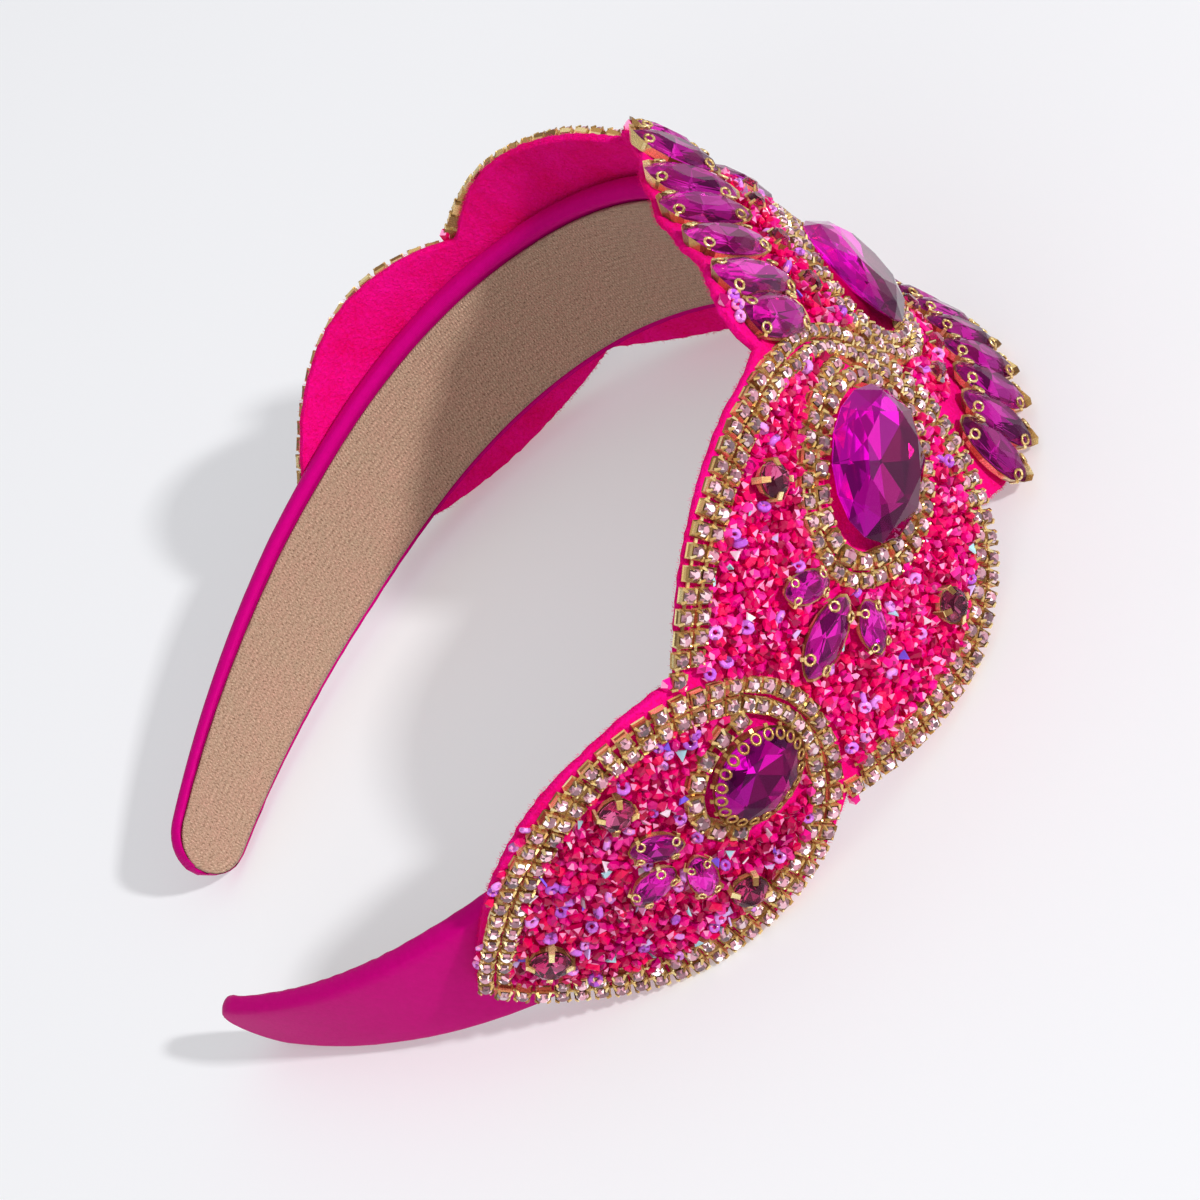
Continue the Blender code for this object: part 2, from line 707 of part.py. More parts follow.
def make_centre_beds():
    ring = 0.5 * CHAIN_DIAMETER + SEAM_GAP + CHAIN_ROW_GAP
    for tag, across in (("front", -1.0), ("back", 1.0)):
        angles = sorted(across * angle for angle in CENTRE_BED_ANGLES)
        inner = sorted(ellipse_route(CENTRE_RING_INNER, *angles, 10, grow=ring))
        outer = [(s, across * f) for s, f in CENTRE_BED_EDGE]
        outer = outer + [(-s, f) for s, f in reversed(outer[:-1])]
        name = "centre_beads_" + tag
        bed = add_object(name, flat_body(inner + outer, SEAM_GAP, BED_TOP, name), beads())
        stones = []
        for side in (1.0, -1.0):
            for s, f, angle in BAGUETTES:
                outline = oval_outline(0.5 * BAGUETTE_SIZE[0], 0.5 * BAGUETTE_SIZE[1], 8, 0.5)
                mesh = stone_mesh(name + "_stone", outline, BAGUETTE_HEIGHTS, 0.6, ())
                turned = -side * across * angle
                place = (side * s, across * f, turned, BED_TOP)
                stones.append(place_stone(name + "_stone", mesh, *place, mauve()))
        union(bed, stones)


def lay_down():
    """Turn the headband about X until it rests on its lowest edges, and stand it on Z = 0."""
    bpy.context.view_layer.update()
    depsgraph = bpy.context.evaluated_depsgraph_get()
    points = []
    for item in bpy.data.collections["headband"].objects:
        if item.type in {"MESH", "CURVE"}:
            shape = item.evaluated_get(depsgraph).to_mesh()
            points += [item.matrix_world @ vert.co for vert in shape.vertices]
            item.evaluated_get(depsgraph).to_mesh_clear()
    tilt = rest_tilt([(point.y, point.z) for point in points])
    turn = Euler((tilt, 0.0, 0.0)).to_matrix()
    turned = [turn @ point for point in points]
    low = [min(point[axis] for point in turned) for axis in range(3)]
    high = [max(point[axis] for point in turned) for axis in range(3)]
    root = bpy.data.objects.new("headband_root", None)
    root.rotation_euler = (tilt, 0.0, 0.0)
    root.location = (-0.5 * (low[0] + high[0]), -0.5 * (low[1] + high[1]), -low[2])
    bpy.data.collections["headband"].objects.link(root)
    for item in bpy.data.collections["headband"].objects:
        if item is not root:
            item.parent = root
    for item in bpy.data.collections["cutters"].objects:
        item.parent = root


def rest_tilt(points):
    """Angle that brings the lowest hull edge under the middle of the part onto the horizontal."""
    middle = sum(point[0] for point in points) / len(points)
    lower = []
    for point in sorted(points):
        while len(lower) > 1 and (
            (lower[-1][0] - lower[-2][0]) * (point[1] - lower[-2][1])
            <= (lower[-1][1] - lower[-2][1]) * (point[0] - lower[-2][0])
        ):
            lower.pop()
        lower.append(point)
    for one, two in zip(lower, lower[1:]):
        if one[0] <= middle <= two[0]:
            return -math.atan2(two[1] - one[1], two[0] - one[0])
    return 0.0


def main():
    for item in list(bpy.data.objects):
        bpy.data.objects.remove(item, do_unlink=True)
    for name in ("headband", "cutters"):
        bpy.context.scene.collection.children.link(bpy.data.collections.new(name))
    make_lining()
    make_band()
    make_felt()
    make_chains()
    make_big_stones()
    make_fan()
    make_chatons()
    make_petals()
    make_beds()
    make_centre_beds()
    lay_down()


main()
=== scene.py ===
import math
import random

import bmesh
import bpy
import numpy as np
from mathutils import Matrix, Vector


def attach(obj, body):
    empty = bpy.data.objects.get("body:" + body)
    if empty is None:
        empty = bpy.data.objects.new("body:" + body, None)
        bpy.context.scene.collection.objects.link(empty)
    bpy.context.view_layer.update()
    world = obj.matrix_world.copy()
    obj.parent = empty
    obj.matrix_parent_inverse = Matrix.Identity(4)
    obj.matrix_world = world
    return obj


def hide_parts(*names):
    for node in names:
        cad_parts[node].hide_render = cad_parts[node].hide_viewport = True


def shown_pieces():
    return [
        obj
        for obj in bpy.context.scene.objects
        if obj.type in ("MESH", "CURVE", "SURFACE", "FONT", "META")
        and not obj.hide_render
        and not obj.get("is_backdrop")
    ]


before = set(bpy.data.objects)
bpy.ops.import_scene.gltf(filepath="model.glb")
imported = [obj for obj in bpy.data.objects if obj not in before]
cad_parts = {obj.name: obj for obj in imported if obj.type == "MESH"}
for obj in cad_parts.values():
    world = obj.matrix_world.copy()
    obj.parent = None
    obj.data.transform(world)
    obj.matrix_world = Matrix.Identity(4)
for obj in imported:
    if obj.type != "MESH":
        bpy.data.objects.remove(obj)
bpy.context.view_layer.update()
dice = random.Random(11)
numberDice = np.random.default_rng(11)
bothSides = (("_right", 1.0), ("_left", -1.0))

# The ornament is laid out flat in millimetres: s along the band from the crown to a tip, f across it
# (minus is the front edge), u above the felt. The head curve bends it, and layDown puts it on the floor.
headCurve = {
    "arcs": ((45.0, 63.9), (80.0, 70.8), (83.5, 135.2)),  # length and radius, from the crown to a tip
    "halfLength": 208.5,
    "tilt": 0.1766919642686844,
    "location": (0.0, 0.0702187567949295, 0.03606772422790527),
}
layDown = Matrix.Translation(headCurve["location"]) @ Matrix.Rotation(headCurve["tilt"], 4, "X")
toMetres = Matrix.Scale(0.001, 4)
aboveFloor = 0.00004    # no point lies lower than this, in metres

feltSheet = {
    "thickness": 1.5,
    "gap": 0.3,             # between the band and the felt
    "halfWidths": (         # s, front, back
        (0, 35.8, 37.7), (5.6, 35.0, 37.2), (11.4, 35.9, 37.6), (17.4, 35.2, 36.4), (23, 36.3, 35.2),
        (27, 36.2, 32.2), (29.6, 35.2, 29.8), (31.6, 32.8, 28.2), (32.2, 31, 27.6), (32.8, 27.7, 26.6),
        (38, 29, 28.4), (45, 31.6, 31.2), (51, 32.5, 31.9), (57, 32.5, 32), (62, 31.6, 31.1),
        (67, 30.2, 29.6), (72, 28, 27.6), (76, 25.6, 25.2), (80, 22.6, 22.4), (83, 20.2, 20),
        (87, 22.3, 21.4), (92, 24.3, 22.8), (98, 25.6, 23.7), (104, 26.3, 24), (109, 25.9, 23.7),
        (114, 24.6, 22.8), (120, 22, 20.8), (126, 18.6, 18), (132, 14, 14), (138, 8.8, 9.2),
        (143, 3.8, 4.4), (145.5, 0.9, 0.9),
    ),
    "notch": (31.6, 32.2, 32.8),    # stations in the corner between the crown and a lobe
    "leftTrim": (           # s, how much narrower the front is on the left
        (12, 0), (20, 1.2), (28, 3.6), (31.6, 2.6), (32.8, 0), (38, 0.7), (45, 1.5), (52, 1.6), (58, 1.2),
        (65, 0.4), (72, 0),
    ),
    "backRise": 3.0, "riseStart": 14.0, "riseReach": 23.0,
    "droop": 10.6, "droopStart": 12.0, "droopReach": 26.0, "droopPower": 1.5, "droopHalf": 34.0,
    "ripple": 0.10, "rough": 0.06, "bulge": 0.3, "pointsAcross": 34,
    "fibres": 9000, "fibreLength": (0.25, 0.7), "fibreWidth": 0.08,
    "fibreOut": 0.12,       # how far outside the cut edge a fibre starts
    "fibreFloor": 0.0012,   # no fibre starts lower than this, in metres
}

bandCover = {
    "liningWidths": ((0, 19.9), (73.7, 14.5), (147.4, 11.2), (204, 6.9)),
    "tipRounding": 6.5, "tipHalf": 0.6, "tipFold": 0.25, "tipShrink": 0.7,
    "lips": ((0, 2.6), (90, 2.3), (150, 1.6), (208.5, 0.7)),
    "heights": ((0, 5.0), (100, 5.0), (208.5, 3.4)),
    "seat": 1.1, "liningThickness": 0.8,
    "liningShift": 0.9,     # the lining lies a little nearer the back edge
    "step": 2.0, "pucker": 0.07, "puckerPitch": 5.2, "pointsAcross": 36,
}


def between(table, value, column=1):
    # straight-line reading of a table by its first column
    if value <= table[0][0]:
        return table[0][column]
    for low, high in zip(table, table[1:]):
        if value <= high[0]:
            part = (value - low[0]) / (high[0] - low[0])
            return low[column] + part * (high[column] - low[column])
    return table[-1][column]


def arcFrame(s):
    # where s lies on the head curve, and how far the curve has turned there
    left, angle, x, z = abs(s), 0.0, 0.0, 0.0
    lastRadius = headCurve["arcs"][-1][1]
    for length, radius in headCurve["arcs"]:
        turned = angle + (left if radius == lastRadius else min(left, length)) / radius
        x += radius * (math.sin(turned) - math.sin(angle))
        z += radius * (math.cos(turned) - math.cos(angle))
        angle = turned
        left -= length
        if left <= 0.0:
            break
    side = -1.0 if s < 0.0 else 1.0
    return side * x, z, side * angle


def bend(s, f, h):
    # a point at height h over the lining's inner face, in metres
    x, z, angle = arcFrame(s)
    return Vector((x + h * math.sin(angle), z + h * math.cos(angle), -f)) * 0.001


def droopAt(s, f):
    if abs(s) >= feltSheet["droopHalf"]:
        return 0.0
    # the crown's front edge bends down and its back edge a little up
    out = max(0.0, -f - feltSheet["droopStart"]) / feltSheet["droopReach"]
    back = max(0.0, f - feltSheet["riseStart"]) / feltSheet["riseReach"]
    along = math.cos(0.5 * math.pi * s / feltSheet["droopHalf"]) ** 2
    power = feltSheet["droopPower"]
    return along * (feltSheet["droop"] * out ** power - feltSheet["backRise"] * back ** power)


def feltTop(s, f):
    return between(bandCover["heights"], abs(s)) + feltSheet["gap"] + feltSheet["thickness"] - droopAt(s, f)


def outwards(s, f, reach=0.5):
    # the direction straight out of the felt
    along = bend(s + reach, f, feltTop(s + reach, f)) - bend(s - reach, f, feltTop(s - reach, f))
    across = bend(s, f + reach, feltTop(s, f + reach)) - bend(s, f - reach, feltTop(s, f - reach))
    return along.cross(across).normalized()


def wrap(s, f, u):
    # a point at height u over the felt's outer face, in metres
    return bend(s, f, feltTop(s, f)) + outwards(s, f) * (u * 0.001)


def onFelt(s, f, angle, lift, lean=0.0, roll=0.0):
    # a place on the felt, in millimetres: x at the angle from the s direction, z away from the felt
    up = outwards(s, f)
    along = (wrap(s + 0.5, f, 0.0) - wrap(s - 0.5, f, 0.0)).normalized()
    across = up.cross(along).normalized()
    if across.dot(wrap(s, f + 0.5, 0.0) - wrap(s, f, 0.0)) < 0.0:
        across = -across
    turned = math.radians(angle)
    xAxis = along * math.cos(turned) + across * math.sin(turned)
    place = Matrix((xAxis, up.cross(xAxis), up)).transposed().to_4x4()
    place.translation = wrap(s, f, lift)
    return place @ toMetres @ Matrix.Rotation(lean, 4, "X") @ Matrix.Rotation(roll, 4, "Y")


def lengthsAlong(points):
    lengths = [0.0]
    for one, two in zip(points, points[1:]):
        lengths.append(lengths[-1] + math.dist(one, two))
    return lengths


def smooth(points, closed, step):
    # points an even step apart on a smooth curve through the given ones
    count, fine = len(points), []
    for index in range(count if closed else count - 1):
        spots = range(index - 1, index + 3)
        corners = [points[spot % count if closed else min(max(spot, 0), count - 1)] for spot in spots]
        for part in range(12):
            t = part / 12.0
            fine.append(tuple(
                0.5 * (2 * b + (c - a) * t + (2 * a - 5 * b + 4 * c - d) * t * t
                       + (3 * b - a - 3 * c + d) * t ** 3)
                for a, b, c, d in zip(*corners)))
    fine.append(points[0] if closed else points[-1])
    lengths = lengthsAlong(fine)
    pieces = max(3, round(lengths[-1] / step))
    table = [(length, *point) for length, point in zip(lengths, fine)]
    marks = [lengths[-1] * index / pieces for index in range(pieces if closed else pieces + 1)]
    return [(between(table, mark, 1), between(table, mark, 2)) for mark in marks]


def movedInwards(points, distance):
    # the distance is a number, or a function of the point
    moved = []
    for index, point in enumerate(points):
        before, after = points[max(index - 1, 0)], points[min(index + 1, len(points) - 1)]
        far = (distance(point) if callable(distance) else distance) / math.dist(before, after)
        moved.append((point[0] + (after[1] - before[1]) * far, point[1] - (after[0] - before[0]) * far))
    return moved


def trimmed(points, start, end):
    lengths = lengthsAlong(points)
    return [point for point, length in zip(points, lengths) if start <= length <= lengths[-1] - end]


def ellipsePoints(ellipse, start=0.0, end=360.0, count=24):
    s, f, halfS, halfF = ellipse
    pieces = count if end - start >= 360.0 else count + 1
    angles = [math.radians(start + (end - start) * index / count) for index in range(pieces)]
    return [(s + halfS * math.cos(a), f + halfF * math.sin(a)) for a in angles]


def srgb(*colour):
    return tuple((c / 255 + 0.055) ** 2.4 / 1.055 ** 2.4 if c > 10 else c / 255 / 12.92 for c in colour)


def colourSet(*colours):
    return np.array([srgb(*colour) for colour in colours])


def palette(colour, *shades):
    # shades of one colour, from its darkest facet to its brightest
    return np.array([[min(1.0, part * shade) for part in colour] for shade in shades])


# Nodes: a socket takes another socket or a plain value
def feed(tree, socket, value):
    if isinstance(value, bpy.types.NodeSocket):
        tree.links.new(value, socket)
    else:
        socket.default_value = value


def addNode(tree, kind, inputs, **settings):
    node = tree.nodes.new("ShaderNode" + kind)
    for label, value in settings.items():
        setattr(node, label, value)
    for key, value in inputs.items():
        feed(tree, node.inputs[key], value)
    return node.outputs


def mathNode(tree, operation, *values):
    return addNode(tree, "Math", dict(enumerate(values)), operation=operation)[0]


def noiseNode(tree, vector, scale, detail=3.0, rough=0.55, distortion=0.0):
    return addNode(tree, "TexNoise", {"Vector": vector, "Scale": scale, "Detail": detail, "Roughness": rough,
                                      "Distortion": distortion})[0]


def spreadNode(tree, value, low, high, fromLow=0.0, fromHigh=1.0):
    return addNode(tree, "MapRange", {"Value": value, "From Min": fromLow, "From Max": fromHigh,
                                      "To Min": low, "To Max": high})[0]


def newGroup(name, vector, results, **numbers):
    tree = bpy.data.node_groups.new(name, "ShaderNodeTree")
    tree.interface.new_socket(name=vector, in_out="INPUT", socket_type="NodeSocketVector")
    for label, value in numbers.items():
        socket = tree.interface.new_socket(name=label, in_out="INPUT", socket_type="NodeSocketFloat")
        socket.default_value = value
    for label in results:
        tree.interface.new_socket(name=label, in_out="OUTPUT", socket_type="NodeSocketFloat")
    return tree, tree.nodes.new("NodeGroupInput").outputs, tree.nodes.new("NodeGroupOutput").inputs


def threadsGroup():
    # threads that run both ways over a cloth's own flat coordinates, in millimetres
    tree, given, out = newGroup("clothThreads", "Flat", ("Height", "Fleck"),
                                Along=3.0, Across=3.0, Slant=0.0, Wander=1.0)
    flat = addNode(tree, "SeparateXYZ", {0: given["Flat"]})
    wander = mathNode(tree, "MULTIPLY", noiseNode(tree, given["Flat"], 0.35), given["Wander"])
    along = mathNode(tree, "MULTIPLY", flat["X"], given["Along"])
    across = mathNode(tree, "MULTIPLY", flat["Y"], given["Across"])
    slanted = mathNode(tree, "ADD", along, mathNode(tree, "MULTIPLY", flat["Y"], given["Slant"]))
    waves = []
    for value in (slanted, across):
        turned = mathNode(tree, "MULTIPLY", mathNode(tree, "ADD", value, wander), 2.0 * math.pi)
        waves.append(mathNode(tree, "MULTIPLY_ADD", mathNode(tree, "SINE", turned), 0.5, 0.5))
    feed(tree, out["Height"], mathNode(tree, "MULTIPLY", *waves))
    stretched = addNode(tree, "CombineXYZ", {0: mathNode(tree, "MULTIPLY", flat["X"], 1.5),
                                             1: mathNode(tree, "MULTIPLY", flat["Y"], 0.6)})[0]
    feed(tree, out["Fleck"], noiseNode(tree, stretched, 2.4, 4.0, 0.75))
    return tree


def mottleGroup():
    # uneven light and dark at two sizes
    tree, given, out = newGroup("softMottle", "Vector", ("Value", "Grain"),
                                Broad=60.0, Fine=900.0, Low=0.8, High=1.2)
    broad = noiseNode(tree, given["Vector"], given["Broad"], 2.0)
    fine = noiseNode(tree, given["Vector"], given["Fine"], 3.0, 0.7, 0.4)
    mixed = mathNode(tree, "ADD", mathNode(tree, "MULTIPLY", broad, 0.45),
                     mathNode(tree, "MULTIPLY", fine, 0.55))
    feed(tree, out["Value"], spreadNode(tree, mixed, given["Low"], given["High"], 0.32, 0.68))
    feed(tree, out["Grain"], fine)
    return tree


clothThreads, softMottle = threadsGroup(), mottleGroup()


class Finish:
    # a material that is being put together round its one Principled shader
    def __init__(self, name, colour, **settings):
        self.material = bpy.data.materials.new(name)
        self.material.use_nodes = True
        self.tree = self.material.node_tree
        self.coordinates = addNode(self.tree, "TexCoord", {})
        self.set(Base_Color=(*colour, 1.0), **settings)

    def set(self, **values):
        for label, value in values.items():
            feed(self.tree, self.tree.nodes["Principled BSDF"].inputs[label.replace("_", " ")], value)

    def threads(self, **values):
        # the UV map is in tenths of a metre, and the threads are counted per millimetre
        flat = addNode(self.tree, "Mapping", {"Vector": self.coordinates["UV"], "Scale": (100.0,) * 3})[0]
        return addNode(self.tree, "Group", {0: flat, **values}, node_tree=clothThreads)

    def mottle(self, **values):
        return addNode(self.tree, "Group", {0: self.coordinates["Object"], **values}, node_tree=softMottle)

    def tone(self):
        return addNode(self.tree, "Attribute", {}, attribute_name="tone")["Color"]

    def mix(self, factor, *colours):
        first, second = (colour if isinstance(colour, bpy.types.NodeSocket) else (*colour, 1.0)
                         for colour in colours)
        return addNode(self.tree, "Mix", {0: factor, 6: first, 7: second}, data_type="RGBA")[2]

    def spread(self, value, *limits):
        return spreadNode(self.tree, value, *limits)

    def bump(self, height, strength, distance):
        return addNode(self.tree, "Bump", {"Strength": strength, "Distance": distance, "Height": height})[0]


def satinFinish():
    made = Finish("magentaSatin", srgb(196, 12, 118), Roughness=0.42, Sheen_Weight=0.02, Sheen_Roughness=0.35,
                  Sheen_Tint=(*srgb(255, 30, 150), 1.0), Specular_IOR_Level=0.02)
    threads = made.threads(Along=3.3, Across=4.0, Slant=0.0, Wander=0.5)
    colour = made.mix(made.mottle(Broad=45.0, Fine=700.0)["Grain"], srgb(188, 0, 112), srgb(212, 2, 132))
    made.set(Base_Color=made.mix(made.spread(threads["Height"], 0.0, 0.35), colour, srgb(160, 0, 94)),
             Roughness=made.spread(threads["Fleck"], 0.36, 0.52, 0.3, 0.7),
             Normal=made.bump(threads["Height"], 0.25, 0.00006))
    return made.material


def twillFinish():
    made = Finish("tanTwill", srgb(176, 146, 120), Roughness=0.92, Specular_IOR_Level=0.2, Sheen_Weight=0.1)
    threads = made.threads(Along=1.7, Across=0.9, Slant=0.6, Wander=0.8)
    mottle = made.mottle(Broad=150.0, Fine=900.0, Low=0.0, High=1.0)
    light = made.mix(mottle["Value"], srgb(208, 180, 152), srgb(222, 176, 154))
    base = made.mix(made.spread(threads["Fleck"], 0.0, 1.0, 0.36, 0.56), srgb(146, 114, 92), light)
    base = made.mix(made.spread(threads["Fleck"], 0.8, 0.0, 0.35, 0.42), base, srgb(96, 70, 54))
    made.set(Base_Color=made.mix(made.spread(threads["Height"], 0.42, 0.0), base, srgb(116, 86, 66)),
             Normal=made.bump(threads["Height"], 0.7, 0.00025))
    return made.material


def feltFinish():
    made = Finish("pinkFelt", srgb(232, 0, 96), Roughness=0.95, Specular_IOR_Level=0.05, Sheen_Weight=0.16,
                  Sheen_Roughness=0.5, Sheen_Tint=(*srgb(255, 60, 140), 1.0))
    mottle = made.mottle(Broad=120.0, Fine=1500.0, Low=0.0, High=1.0)
    made.set(Base_Color=made.mix(mottle["Value"], srgb(228, 0, 92), srgb(252, 10, 152)),
             Normal=made.bump(mottle["Grain"], 0.9, 0.0005))
    return made.material


# The metal, the stones and the beads take each face's colour from the tone attribute; its dark and pale
# tones are painted shade and highlights on the facets.
def goldFinish():
    # the gold glows a little in its face tones: a painted glow
    made = Finish("paleGold", srgb(240, 206, 136), Metallic=0.62, Roughness=0.25, Emission_Strength=0.05)
    mottle = made.mottle(Broad=300.0, Fine=2500.0)
    worn = made.spread(mottle["Value"], 0.0, 0.5, 1.2, 0.8)
    made.set(Base_Color=made.mix(worn, made.tone(), srgb(196, 156, 92)),
             Emission_Color=made.tone(), Roughness=made.spread(mottle["Grain"], 0.18, 0.36),
             Normal=made.bump(mottle["Grain"], 0.2, 0.00005))
    return made.material


def chainStoneFinish():
    # the palest facets glow, as ones that catch the light
    colour = srgb(214, 150, 170)
    made = Finish("roseStone", colour, IOR=1.65, Coat_Weight=0.6, Coat_Roughness=0.02, Specular_IOR_Level=0.7,
                  Emission_Strength=0.8)
    mottle = made.mottle(Broad=900.0, Fine=4000.0, Low=0.85, High=1.15)
    green = addNode(made.tree, "SeparateColor", {0: made.tone()})["Green"]
    paintedGlint = made.spread(green, 0.0, 1.0, 0.68, 0.8)
    made.set(Base_Color=made.mix(made.spread(mottle["Value"], 0.0, 0.35, 1.15, 0.85), made.tone(),
                                 tuple(0.5 * part for part in colour)),
             Emission_Color=made.mix(paintedGlint, (0.0, 0.0, 0.0), (1.0, 0.93, 0.95)),
             Roughness=made.spread(mottle["Grain"], 0.06, 0.14))
    return made.material


def glassFinish(name, colour):
    made = Finish(name, colour, IOR=1.55, Transmission_Weight=1.0, Roughness=0.0, Metallic=0.0,
                  Specular_Tint=(*(0.12 + 0.88 * part for part in colour), 1.0))
    mottle = made.mottle(Broad=90.0, Fine=600.0)
    made.set(Base_Color=made.mix(made.spread(mottle["Value"], 0.0, 0.4), colour,
                                 tuple(0.75 * part for part in colour)))
    return made.material


def foilFinish(name, colour, glow):
    # the foil glows in its face tones by the glow factor: a painted glow
    made = Finish(name, colour, Metallic=1.0, Roughness=0.1, Emission_Strength=glow)
    mottle = made.mottle(Broad=400.0, Fine=2500.0)
    made.set(Base_Color=made.tone(), Emission_Color=made.tone(),
             Roughness=made.spread(mottle["Grain"], 0.03, 0.12))
    return made.material


def beadFinish():
    # the beads glow a little in their face tones: a painted glow for light through the glass
    made = Finish("glossBeads", srgb(235, 0, 100), IOR=1.5, Specular_IOR_Level=0.24, Emission_Strength=0.1)
    mottle = made.mottle(Broad=700.0, Fine=3000.0, Low=0.8, High=1.0)
    deep = made.spread(mottle["Value"], 0.3, 0.0, 0.8, 1.0)
    made.set(Base_Color=made.mix(deep, made.tone(), srgb(150, 0, 60)),
             Emission_Color=made.tone(), Roughness=made.spread(mottle["Grain"], 0.04, 0.18))
    return made.material


def stoneFinishes(name, glass, foil, glow):
    return [gold, glassFinish(name + "Glass", glass), foilFinish(name + "Foil", foil, glow)]


satin, twill, felt, gold = satinFinish(), twillFinish(), feltFinish(), goldFinish()
roseStone, beadGloss = chainStoneFinish(), beadFinish()
mauve = stoneFinishes("mauve", srgb(236, 150, 190), srgb(150, 70, 100), 0.1)
violet = stoneFinishes("violet", srgb(236, 90, 205), srgb(190, 50, 170), 0.2)
fuchsia = stoneFinishes("fuchsia", srgb(248, 10, 225), srgb(235, 0, 210), 0.34)
# gold face tones, dark to pale: the dark ones are painted shade and the pale ones painted highlights
goldTones = colourSet((122, 84, 48), (192, 150, 86), (236, 200, 128), (246, 216, 146), (255, 238, 176))
print("finishes made")


def addToScene(name, data):
    item = bpy.data.objects.new(name, data)
    bpy.context.scene.collection.objects.link(item)
    return item


def addPiece(name, mesh, finishes, slot, *replaced):
    mesh.transform(layDown)
    for vert in mesh.vertices:
        vert.co.z = max(vert.co.z, aboveFloor)
    for finish in finishes:
        mesh.materials.append(finish)
    piece = addToScene(name, mesh)
    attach(piece, "root")
    if replaced:
        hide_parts(*replaced)
    return piece


def placeOf(item):
    # the corners of a face or an edge in order of place, which is the same in each run
    return sorted(vert.co[:] for vert in item.verts)


def asShape(form):
    # a small form kept as arrays, so that many copies of it can be joined quickly
    bmesh.ops.recalc_face_normals(form, faces=form.faces[:])
    form.verts.index_update()
    faces = sorted(form.faces, key=placeOf)
    shape = {
        "points": np.array([vert.co[:] for vert in form.verts]),
        "corners": np.array([vert.index for face in faces for vert in face.verts]),
        "counts": np.array([len(face.verts) for face in faces]),
        "finishes": np.array([face.material_index for face in faces]),
        "smooth": np.array([face.smooth for face in faces]),
    }
    form.free()
    return shape


def joinCopies(name, copies):
    # one mesh of many placed shapes; each face takes a random colour from its finish's palette
    points, corners, tones, first = [], [], [], 0
    for shape, place, palettes in copies:
        matrix = np.array(place)
        points.append(shape["points"] @ matrix[:3, :3].T + matrix[:3, 3])
        corners.append(shape["corners"] + first)
        colours = np.ones((len(shape["counts"]), 4))
        for finish, shades in enumerate(palettes):
            mine = shape["finishes"] == finish
            colours[mine, :3] = shades[numberDice.integers(len(shades), size=int(mine.sum()))]
        tones.append(colours)
        first += len(shape["points"])
    points, corners = np.concatenate(points), np.concatenate(corners)
    counts, finishes, smoothed = (np.concatenate([copy[0][key] for copy in copies])
                                  for key in ("counts", "finishes", "smooth"))
    mesh = bpy.data.meshes.new(name)
    mesh.vertices.add(len(points))
    mesh.vertices.foreach_set("co", points.ravel())
    mesh.loops.add(len(corners))
    mesh.loops.foreach_set("vertex_index", corners)
    mesh.polygons.add(len(counts))
    mesh.polygons.foreach_set("loop_start", np.concatenate(([0], np.cumsum(counts)[:-1])))
    mesh.polygons.foreach_set("material_index", finishes)
    mesh.polygons.foreach_set("use_smooth", smoothed)
    mesh.update(calc_edges=True)
    tone = mesh.color_attributes.new("tone", "FLOAT_COLOR", "CORNER")
    tone.data.foreach_set("color", np.repeat(np.concatenate(tones), counts, axis=0).ravel())
    mesh.validate()
    return mesh


def addJoined(node, ending, copies, finishes, slot):
    addPiece(node + ending, joinCopies(node, copies), finishes, slot, node)


# Cloth: closed forms swept along the band through a section at each station
def sweep(stations, section, place):
    sections = [section(s) for s in stations]
    count = len(sections[0])
    form = bmesh.new()
    bmesh.ops.create_grid(form, x_segments=len(stations) - 1, y_segments=count, size=1.0)
    flat = form.loops.layers.uv.new("cloth")    # in tenths of a metre
    ways = []
    for ring in sections:
        lengths = lengthsAlong(ring + ring[:1])
        ways.append([length - 0.5 * lengths[-1] for length in lengths])
    last = len(stations) - 1
    spots = {vert: (round(0.5 * (vert.co.x + 1.0) * last), round(0.5 * (vert.co.y + 1.0) * count))
             for vert in form.verts}
    for face in form.faces:
        face.smooth = True
        for loop in face.loops:
            column, row = spots[loop.vert]
            loop[flat].uv = (stations[column] * 0.01, ways[column][row] * 0.01)
    for vert, (column, row) in spots.items():
        vert.co = place(stations[column], *sections[column][row % count])
    bmesh.ops.remove_doubles(form, verts=form.verts[:], dist=1e-7)
    rims = [edge for edge in form.edges if edge.is_boundary]
    bmesh.ops.holes_fill(form, edges=rims, sides=0)
    bmesh.ops.recalc_face_normals(form, faces=form.faces[:])
    mesh = bpy.data.meshes.new("cloth")
    form.to_mesh(mesh)
    form.free()
    return mesh


def evenStations(reach, step, extra):
    count = math.ceil(2.0 * reach / step)
    even = [-reach + 2.0 * reach * index / count for index in range(count + 1)]
    wanted = [value for value in extra for value in (-value, value)]
    return sorted([s for s in even if all(abs(s - value) > 0.3 * step for value in wanted)] + wanted)


def bandStations():
    # even along the band, and closer where the tips are rounded
    rounding, reach = bandCover["tipRounding"], headCurve["halfLength"]
    tips = [reach - rounding * part for part in (0.02, 0.06, 0.13, 0.24, 0.38, 0.55, 0.75, 1.0)]
    return evenStations(reach - 8.0, bandCover["step"], tips)


def liningHalf(s):
    wide = between(bandCover["liningWidths"], abs(s))
    left = headCurve["halfLength"] - abs(s)
    if left >= bandCover["tipRounding"]:
        return wide
    over = 1.0 - max(left, 0.0) / bandCover["tipRounding"]
    return max(bandCover["tipHalf"], wide * math.sqrt(max(0.0, 1.0 - over * over)))


def liningShift(s):
    return bandCover["liningShift"] * min(1.0, liningHalf(s) / 12.0)


